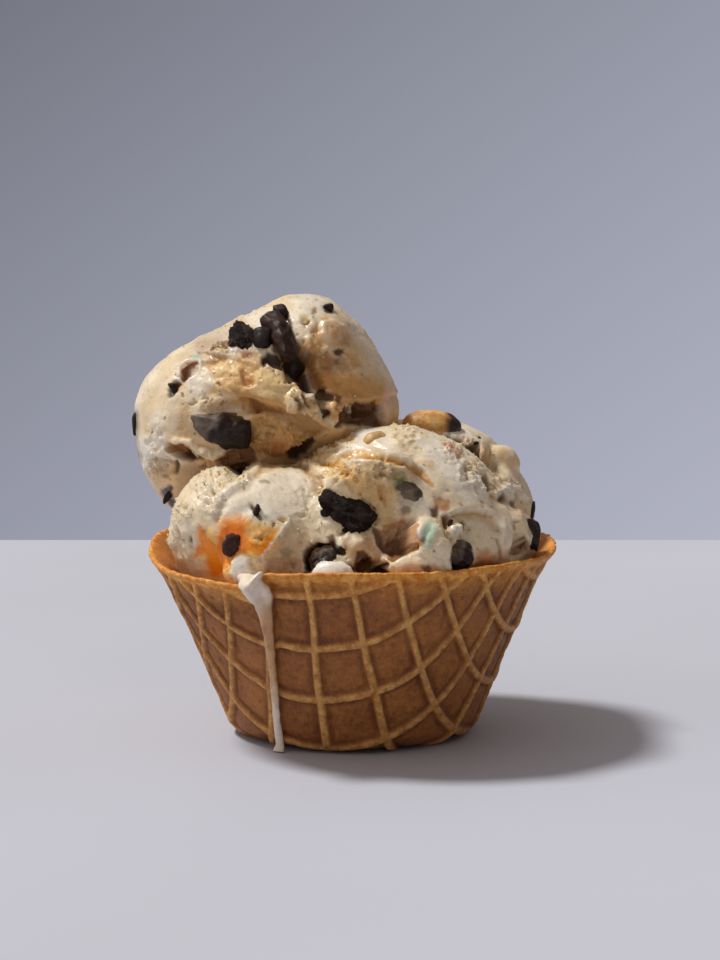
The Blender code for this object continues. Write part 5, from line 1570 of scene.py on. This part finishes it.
# %% Sweets
SCOOP_OF = {"front": FRONT, "top": TOP, "back": BACK}
SWEETS = {
    "cookie_front": ("front", -3.0, 39.0, (15.0, 8.0, 7.0), -42, 2.0),
    "cookie_top": ("top", -27.0, 52.0, (10.5, 7.0, 6.5), -72, 1.8),
    "chocolate_slab": ("top", 9.0, 51.0, (15.0, 6.0, 6.5), -70, 1.2),
    "chocolate_chunk": ("top", -29.0, -6.0, (16.0, 9.5, 8.0), -10, 2.0),
    "chocolate_lower": ("front", -14.0, 17.0, (7.0, 6.0, 5.5), 40, 1.5),
    "chocolate_right": ("front", 39.5, 15.0, (6.6, 4.6, 4.4), 80, 1.0),
    "chocolate_rim": ("front", 79.0, 14.5, (8.0, 6.0, 5.0), 70, 1.0),
    "candy_dark": ("front", 28.0, 39.5, (8.5, 5.0, 4.8), -50, 1.4),
    "candy_orange": ("front", -44.0, 17.5, (6.4, 5.4, 5.0), 60, 1.6),
    "peanut_coated": ("front", 27.0, 70.5, (7.0, 5.0, 4.8), 10, 1.2),
    "nut_back": ("back", 16.0, 76.0, (16.0, 9.0, 8.0), -16, 0.6),
    "chocolate_back": ("back", 165.0, 30.0, (11.0, 8.0, 7.0), 20, 2.0),
    "cookie_rear": ("top", 170.0, 20.0, (12.0, 9.0, 7.0), 40, 2.0),
}
SWEET_COLUMNS, SWEET_ROWS = 84, 44
PLANES = 9
SQUARENESS = 0.6
LAPPED = 0.5
COOKIE_BROWN, COOKIE_GLINT = shade(25, 15, 12), shade(48, 34, 28)
CHOCOLATE, SLAB_BROWN, SHELL_BROWN = shade(37, 23, 18), shade(50, 29, 21), shade(42, 29, 22)
SHELL_COLOURS = {"candy_dark": shade(84, 68, 52), "candy_orange": shade(54, 27, 20)}
NUT_TAN, NUT_GOLD, NUT_BURNT = shade(204, 146, 76), shade(230, 188, 116), shade(48, 26, 17)
PEANUT_PALE = shade(214, 182, 126)
BLOOM = shade(130, 117, 105)
VEILS = {
    "chocolate_chunk": (0.58, -1.0, 0.25, -0.05),
    "candy_dark": (0.55, -0.5, -0.6, -0.05),
    "chocolate_lower": (0.30, 0.2, 0.8, 0.1),
    "chocolate_right": (0.35, 0.2, 0.8, 0.1),
    "chocolate_back": (0.35, 0.5, 0.5, 0.1),
    "chocolate_slab": (0.22, 0.3, 0.6, 0.3),
}
THIN_VEIL = (0.06, 0.0, 1.0, 0.0)
COOKIE_CRUMB, COOKIE_LUMP = 0.60, 0.75
SPLIT_FINE, SPLIT_COARSE = 0.26, 0.50
NUT_ROUGH, SHELL_ROUGH = 0.14, 0.38


def rough_reach(scoop, way):
    """How far the rough form reaches that way from the scoop's centre: a march inwards, then halving."""
    centre = np.array(scoop.centre)
    steps = np.linspace(70.0, 0.0, 141)
    inside = rough_distance(centre + way * steps[:, None], scoop) < 0
    first = int(np.argmax(inside))
    near, far = steps[first], steps[first - 1]
    for _ in range(12):
        middle = (near + far) / 2
        if rough_distance((centre + way * middle)[None, :], scoop)[0] < 0:
            near = middle
        else:
            far = middle
    return near


def sweet_axes(name):
    """(place, along, across, out, half sizes) of a sweet, as its solid has them."""
    scoop_name, bearing, rise, size, spin, sunk = SWEETS[name]
    scoop = SCOOP_OF[scoop_name]
    turn, lift = math.radians(bearing), math.radians(rise)
    way = np.array([math.sin(turn) * math.cos(lift), -math.cos(turn) * math.cos(lift), math.sin(lift)])
    place = np.array(scoop.centre) + way * (rough_reach(scoop, way) - sunk)
    right = -np.cross(way, (0.0, 0.0, 1.0))
    right /= np.linalg.norm(right)
    up = np.cross(way, right)
    up = up if up[2] >= 0 else -up
    spun = math.radians(spin)
    along = right * math.cos(spun) + up * math.sin(spun)
    return place, along, np.cross(way, along), way, np.array(size) / 2


def unit_ball(columns, rows):
    """Unit ways on a plain grid of longitude and latitude, with the two poles last."""
    turn = np.arange(columns) * 2 * math.pi / columns
    fall = np.linspace(0.0, math.pi, rows + 2)[1:-1]
    fall, turn = (grid.ravel() for grid in np.meshgrid(fall, turn, indexing="ij"))
    ring = np.stack([np.cos(fall), np.sin(fall) * np.cos(turn), np.sin(fall) * np.sin(turn)], -1)
    return np.concatenate([ring, [[1.0, 0.0, 0.0], [-1.0, 0.0, 0.0]]])


def broken_ball(ways, seed, sharp=0.03):
    """Reach of a squared ball cut by random planes: the least plane distance over the way's facing."""
    draw = np.random.default_rng(seed)
    normals = draw.normal(size=(PLANES, 3))
    normals /= np.linalg.norm(normals, axis=1)[:, None]
    away = draw.uniform(0.74, 1.02, PLANES)
    reach = 1.02 / np.abs(ways).max(axis=1) ** SQUARENESS
    for normal, distance in zip(normals, away):
        facing = np.maximum(ways @ normal, 1e-3)
        reach = smooth_min(reach, distance / facing, sharp)
    return reach


def make_sweet(name):
    """A sweet's points and colours by its kind: its ball's reach, roughened by noise, in its own axes."""
    kind = name.split("_")[0]
    place, along, across, out, half = sweet_axes(name)
    seed = sum(map(ord, name))
    ways = unit_ball(SWEET_COLUMNS, SWEET_ROWS)
    axes = np.stack([along, across, out])
    if kind in ("cookie", "chocolate"):
        reach = broken_ball(ways, seed)
    else:
        reach = 1.0 - 0.06 * np.abs(ways[:, 0]) ** 3 + 0.03 * noise(ways, 0.9, seed)
    local = ways * reach[:, None] * half
    if kind == "cookie":
        near, _, label = crumbs_at(local, 1.3, seed)
        rough = COOKIE_CRUMB * (0.5 - near) * (0.3 + label)
        rough = rough + COOKIE_LUMP * layered(local, 3.4, 4, seed, 0.6)
        local = local + ways * rough[:, None]
        glint = smoothstep(0.1, 0.5, label - near)
        colour = laid_over(np.tile(COOKIE_BROWN, (len(ways), 1)), COOKIE_GLINT, glint)
    elif kind == "chocolate":
        rough = SPLIT_FINE * layered(local, 1.8, 3, seed) + SPLIT_COARSE * layered(local, 4.0, 2, seed)
        local = local + ways * rough[:, None]
        colour = np.tile(SLAB_BROWN if name == "chocolate_slab" else CHOCOLATE, (len(ways), 1))
    elif kind in ("nut", "peanut"):
        local = local + ways * (NUT_ROUGH * layered(local, 2.4, 3, seed))[:, None]
        gold = smoothstep(-0.4, 0.5, layered(local, 2.5, 3, seed + 1)) * (0.3 if kind == "peanut" else 1.0)
        colour = laid_over(np.tile(NUT_TAN, (len(ways), 1)), NUT_GOLD, gold)
        if kind == "peanut":
            colour = laid_over(colour, PEANUT_PALE, np.full(len(ways), 0.7))
        if kind == "nut":
            burnt = smoothstep(0.25, 0.6, ways[:, 0] + 0.25 * noise(local, 3.0, seed + 2))
            colour = laid_over(colour, NUT_BURNT, burnt)
    else:
        local = local + ways * (SHELL_ROUGH * layered(local, 2.4, 3, seed))[:, None]
        colour = np.tile(SHELL_COLOURS[name], (len(ways), 1))
    share, by_length, by_width, start = VEILS.get(name, THIN_VEIL)
    side = by_length * ways[:, 0] + by_width * ways[:, 1] + 0.45 * layered(local, 4.0, 3, seed + 5)
    colour = laid_over(colour, BLOOM, share * smoothstep(start, start + 0.35, side))
    points = place + local @ axes
    if kind != "nut":
        above = rough_distance(points, SCOOP_OF[SWEETS[name][0]]) + 0.9 * layered(local, 2.4, 3, seed + 7)
        colour = laid_over(colour, STAINS["tan"], LAPPED * (1.0 - smoothstep(-1.0, 0.3, above)))
    quads, triangles = outward_grid(points - place, SWEET_COLUMNS)
    return make_piece(name + "_piece", points, quads, triangles, {"sweet_colour": colour})


# %% [markdown]
# Smaller bits of chocolate and cookie sit in the cream too. Each is given by its picture point, how far
# it stands out, its half sizes and its lean in the picture. Together they are one mesh.

# %% Small bits
BIT_COLUMNS, BIT_ROWS = 22, 11
BITS = (
    ("top", 264, 338, 2.6, (2.7, 2.4, 2.7), 0, CHOCOLATE),
    ("top", 281, 313, 1.2, (1.9, 1.6, 2.3), 8, CHOCOLATE),
    ("top", 329, 308, 0.5, (1.3, 0.9, 1.3), 30, SHELL_BROWN),
    ("top", 135, 424, 0.5, (0.7, 1.0, 3.0), 4, SHELL_BROWN),
    ("top", 169, 495, 0.5, (0.8, 0.7, 2.6), -38, CHOCOLATE),
    ("top", 174, 389, 0.3, (0.9, 0.8, 2.0), 32, CHOCOLATE),
    ("front", 256, 512, 0.5, (0.8, 0.8, 2.0), -25, SHELL_BROWN),
    ("front", 339, 549, 0.6, (1.2, 1.0, 0.9), 0, CHOCOLATE),
    ("front", 533, 510, 0.5, (0.6, 0.6, 2.2), -8, SHELL_BROWN),
    ("front", 326, 512, 0.8, (1.4, 1.0, 1.2), 0, COOKIE_BROWN),
    ("front", 331, 497, 0.6, (0.9, 0.8, 0.9), 20, COOKIE_BROWN),
    ("front", 346, 530, 0.5, (1.0, 0.8, 0.8), 0, COOKIE_BROWN),
    ("front", 424, 570, 0.3, (0.9, 0.7, 0.7), 20, SHELL_BROWN),
    ("front", 450, 523, 0.3, (0.6, 0.6, 1.0), -20, SLAB_BROWN),
    ("back", 476, 443, 0.3, (0.7, 0.6, 0.5), 0, CHOCOLATE),
    ("back", 479, 438, 0.3, (0.5, 0.5, 0.4), 0, CHOCOLATE),
)


def make_bits():
    """Every bit is a small broken ball at its place, turned by its lean, and all are joined."""
    ways = unit_ball(BIT_COLUMNS, BIT_ROWS)
    quads, triangles = outward_grid(ways, BIT_COLUMNS)
    points, tints = [], []
    for index, (scoop_name, px, py, out, half, lean, tint) in enumerate(BITS):
        way = sight_line(px, py)
        place = seen(SCOOP_OF[scoop_name], px, py) + way * (half[1] - out)
        turn = math.radians(lean)
        level = RIGHT * math.cos(turn) + UP * math.sin(turn)
        upright = UP * math.cos(turn) - RIGHT * math.sin(turn)
        axes = np.stack([level, AHEAD, upright])
        reach = broken_ball(ways, 900 + index, 0.12) + 0.06 * noise(ways, 0.5, index)
        points.append(place + (ways * reach[:, None] * half) @ axes)
        tints.append(np.tile(tint, (len(ways), 1)))
    shift = len(ways) * np.arange(len(BITS))[:, None, None]
    layers = {"sweet_colour": np.concatenate(tints)}
    return make_piece("chocolate_bits", np.concatenate(points), (quads[None] + shift).reshape(-1, 4),
                      (triangles[None] + shift).reshape(-1, 3), layers)


# %% [markdown]
# Finishes for the sweets share one pattern: the mesh gives the colour and noise breaks it up. What sets
# them apart is the surface: cookie is porous and dull with sugar that glints, chocolate has a soft wax
# shine with a bloom, and a nut is smoother and oily.

# %% Sweet finishes
def sweet_finish(name, size_mm, low_gloss, high_gloss, depth_mm, strength, glints=0.0, **sockets):
    """Stored colour times noise of that size, a share of pale glints, a roughness range, and two bumps."""
    finish, tree, shader = new_finish(name, **sockets)
    coarse, fine = grain(tree, size_mm, 4.0, 0.65), grain(tree, size_mm * 0.28, 3.0, 0.6)
    tone = spread(tree, coarse, 0.3, 0.7, 0.72, 1.25)
    colour = toned(tree, layer_of(tree, "sweet_colour", "Color"), tone)
    glint = spread(tree, grain(tree, size_mm * 0.5, 2.0, 0.5), 0.66, 0.72, 0.0, glints)
    colour = blended(tree, glint, colour, BLOOM)
    tree.links.new(colour, shader.inputs["Base Color"])
    tree.links.new(spread(tree, fine, 0.35, 0.65, low_gloss, high_gloss), shader.inputs["Roughness"])
    bumps(tree, shader, (coarse, depth_mm, strength), (fine, depth_mm * 0.4, strength))
    return finish


SWEET_FINISH = {
    "cookie": sweet_finish("crumbly_cookie", 0.9, 0.40, 0.85, 0.7, 0.9, 0.5, Specular_IOR_Level=0.16),
    "chocolate": sweet_finish("split_chocolate", 1.8, 0.36, 0.62, 0.3, 0.6, 0.12, Specular_IOR_Level=0.26),
    "candy": sweet_finish("sugar_shell", 2.4, 0.38, 0.62, 0.2, 0.5, 0.05, Specular_IOR_Level=0.26),
    "nut": sweet_finish("roasted_nut", 1.6, 0.32, 0.5, 0.3, 0.5, 0.1, Specular_IOR_Level=0.45),
}
SWEET_FINISH["peanut"] = SWEET_FINISH["nut"]
SWEET_SLOT = {"candy": "chocolate", "peanut": "nut"}
for name in SWEETS:
    kind = name.split("_")[0]
    dress(make_sweet(name), SWEET_FINISH[kind], SWEET_SLOT.get(kind, kind), name)
dress(make_bits(), SWEET_FINISH["chocolate"], "chocolate")

# %% [markdown]
# The melted run. Melted cream has left the scoop over the sunken rim and crept down the wall, thin where
# it is fast and fat where it pours over the rim. It is a strip with a rounded face, carried along the
# stations of its solid, joined by a smooth curve, with an uneven width.

# %% Melted run
RUN_THICKNESS = 1.1
RUN_OVER_RIM = (
    (-31.5, -5.0, 2.6, 2.8, -0.2, 1.0),
    (-31.6, -1.8, 2.9, 2.9, 0.2, 1.0),
    (-31.2, 1.1, 2.4, 2.7, 0.6, 0.8),
    (-29.0, 3.3, 0.3, 2.4, 1.0, 0.2),
)
RUN_WALL_START, RUN_WALL_END = 3.0, 0.8
RUN_HALF_WIDTHS = (2.3, 1.7, 1.4, 1.3, 1.2, 1.2, 1.2, 1.3, 1.6)
RUN_RIM_BEARING, RUN_FOOT_BEARING = -25.5, -34.5
RUN_RIM_LIFT = 1.15
RUN_FOOT = (0.6, 0.4, 1.9)
RUN_STEPS, RUN_AROUND = 150, 26
RUN_LENGTH = 60.0
POUR_END = (0.16, 0.34)
POUR_SHIFT, RUN_SHIFT = 3.0, 0.6
POUR_WIDEN = 0.22
SWELL_START, SWELL_END = (0.04, 0.12), (0.24, 0.40)
SWELL_THICKNESS = 1.3
LOWEST = 0.15
RUN_TAN, RUN_MILK = shade(204, 158, 112), shade(240, 230, 214)
RUN_THIN, RUN_STREAK = shade(128, 66, 32), shade(150, 92, 50)


def run_stations():
    """Rows of (bearing, radius, height, half width, way out, way up): over the rim and down to the foot."""
    rim_radius, rim_height = beside_profile(DISC_RADIUS, 0.0)
    over = [(b, rim_radius + r, rim_height + h, w, out, up) for b, r, h, w, out, up in RUN_OVER_RIM]
    share = np.linspace(1.0, 0.0, len(RUN_HALF_WIDTHS))
    low = FOOT_RADIUS + HEEL_LENGTH * RUN_WALL_END
    walk = low + (DISC_RADIUS - RUN_WALL_START - low) * share
    bearing = RUN_RIM_BEARING + (RUN_FOOT_BEARING - RUN_RIM_BEARING) * (1.0 - share) ** 1.5
    out = RIB_HEIGHT + CLEARANCE + RUN_THICKNESS / 2 + RUN_RIM_LIFT * share**3
    radius, height = beside_profile(walk, out)
    rise = profile(walk)[2]
    down = np.stack([bearing, radius, height, RUN_HALF_WIDTHS, np.sin(rise), -np.cos(rise)], -1)
    foot_out, foot_height, foot_half = RUN_FOOT
    foot = (RUN_FOOT_BEARING, radius[-1] + foot_out, foot_height, foot_half, 1.0, 0.0)
    return np.concatenate([over, down, [foot]])


def smooth_rows(rows, count):
    """The rows joined by a Catmull-Rom curve and read at evenly spaced steps."""
    padded = np.concatenate([rows[:1], rows, rows[-1:]])
    place = np.linspace(0.0, len(rows) - 1 - 1e-9, count)
    start = np.floor(place).astype(int)
    t = (place - start)[:, None]
    before, here, after, beyond = (padded[start + i] for i in range(4))
    return 0.5 * (2 * here + (after - before) * t + (2 * before - 5 * here + 4 * after - beyond) * t**2
                  + (3 * here - before - 3 * after + beyond) * t**3)


def make_run():
    """Each station's outline is a half ellipse on a flat back; noise changes its width and thickness."""
    rows = smooth_rows(run_stations(), RUN_STEPS)
    bearing, radius, height, half, out, up = rows.T
    down = np.arange(RUN_STEPS) / (RUN_STEPS - 1)
    place = np.stack([down * RUN_LENGTH, np.zeros(RUN_STEPS), np.zeros(RUN_STEPS)], -1)
    pour = 1.0 - smoothstep(*POUR_END, down)
    swell = smoothstep(*SWELL_START, down) * (1.0 - smoothstep(*SWELL_END, down))
    bearing = bearing + POUR_SHIFT * pour * smoothstep(0.02, 0.16, down) + RUN_SHIFT
    wander = 0.84 + 0.18 * noise(place, 5.0, 3) + 0.12 * noise(place, 1.7, 4)
    half = half * (1.0 + POUR_WIDEN * pour) * wander
    thick = RUN_THICKNESS * (0.84 + 0.20 * noise(place, 4.0, 5)) + SWELL_THICKNESS * swell
    face = on_bearing(bearing, out, up) / np.hypot(out, up)[:, None]
    aside = on_bearing(bearing + 90.0, np.ones(RUN_STEPS), np.zeros(RUN_STEPS))
    middle = on_bearing(bearing, radius, height)
    angle = np.linspace(0.0, 2 * math.pi, RUN_AROUND, endpoint=False)
    across = np.sign(np.cos(angle)) * np.abs(np.cos(angle)) ** 0.9
    lift = np.where(np.sin(angle) > 0, np.sin(angle) - 0.5, -0.5 + 0.12 * np.sin(angle))
    points = (middle[:, None, :] + (half[:, None] * across)[..., None] * aside[:, None, :]
              + (thick[:, None] * lift)[..., None] * face[:, None, :])
    ends = np.stack([points[0].mean(0), points[-1].mean(0)])
    points = soften_rim(np.concatenate([points.reshape(-1, 3), ends]))
    points[:, 2] = np.maximum(points[:, 2], LOWEST)
    quads, triangles = outward_grid(points - points.mean(0), RUN_AROUND)
    middle_share = np.concatenate([np.tile(np.maximum(np.sin(angle), 0.0), RUN_STEPS), [0.5, 0.5]])
    down_share = np.concatenate([np.repeat(down, RUN_AROUND), [0.0, 1.0]])
    thin = (1.0 - smoothstep(0.10, 0.6, middle_share)) * 0.7
    milky = smoothstep(0.62, 0.85, down_share) + 1.0 - smoothstep(0.24, 0.44, down_share)
    milky = np.clip(milky, 0.0, 1.0)
    colour = np.tile(RUN_TAN, (len(points), 1))
    colour = laid_over(colour, RUN_MILK, milky * 0.9)
    colour = laid_over(colour, RUN_THIN, thin * (1 - 0.8 * milky))
    streaks = smoothstep(0.0, 0.6, layered(points * [1.0, 1.0, 0.3], 1.6, 3, 41))
    colour = laid_over(colour, RUN_STREAK, 0.35 * streaks * (1 - 0.8 * milky))
    layers = {"cream_colour": colour, "torn": np.zeros(len(points))}
    return make_piece("melted_run", points, quads, triangles, layers)


def melt_finish():
    """The cream's stored colour, very wet, scattering light, with slow bumps where it crept and stopped."""
    finish, tree, shader = new_finish("melted_cream", Roughness=0.34, Specular_IOR_Level=0.45,
                                      Coat_Weight=0.12, Coat_Roughness=0.12, Subsurface_Weight=0.3,
                                      Subsurface_Scale=SCATTER_SCALE)
    shader.inputs["Subsurface Radius"].default_value = SCATTER_RADIUS
    slow, fine = grain(tree, 2.4, 2.0), grain(tree, 0.6, 2.0)
    tone = spread(tree, slow, 0.3, 0.7, 0.88, 1.08)
    colour = toned(tree, layer_of(tree, "cream_colour", "Color"), tone)
    tree.links.new(colour, shader.inputs["Base Color"])
    bumps(tree, shader, (slow, 0.5, 0.4), (fine, 0.08, 0.3))
    return finish


dress(make_run(), melt_finish(), "melted_cream", "melt_run")

# %% [markdown]
# Last, the sizes are printed: the imported model's box and the finished one's.

# %% Sizes
finished_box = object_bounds()
for axis, label in enumerate("xyz"):
    cad, made = (box[1][axis] - box[0][axis] for box in (cad_box, finished_box))
    print(f"{label}: CAD {cad / MM:.1f} mm, finished {made / MM:.1f} mm, {100 * (made / cad - 1):+.1f} %")
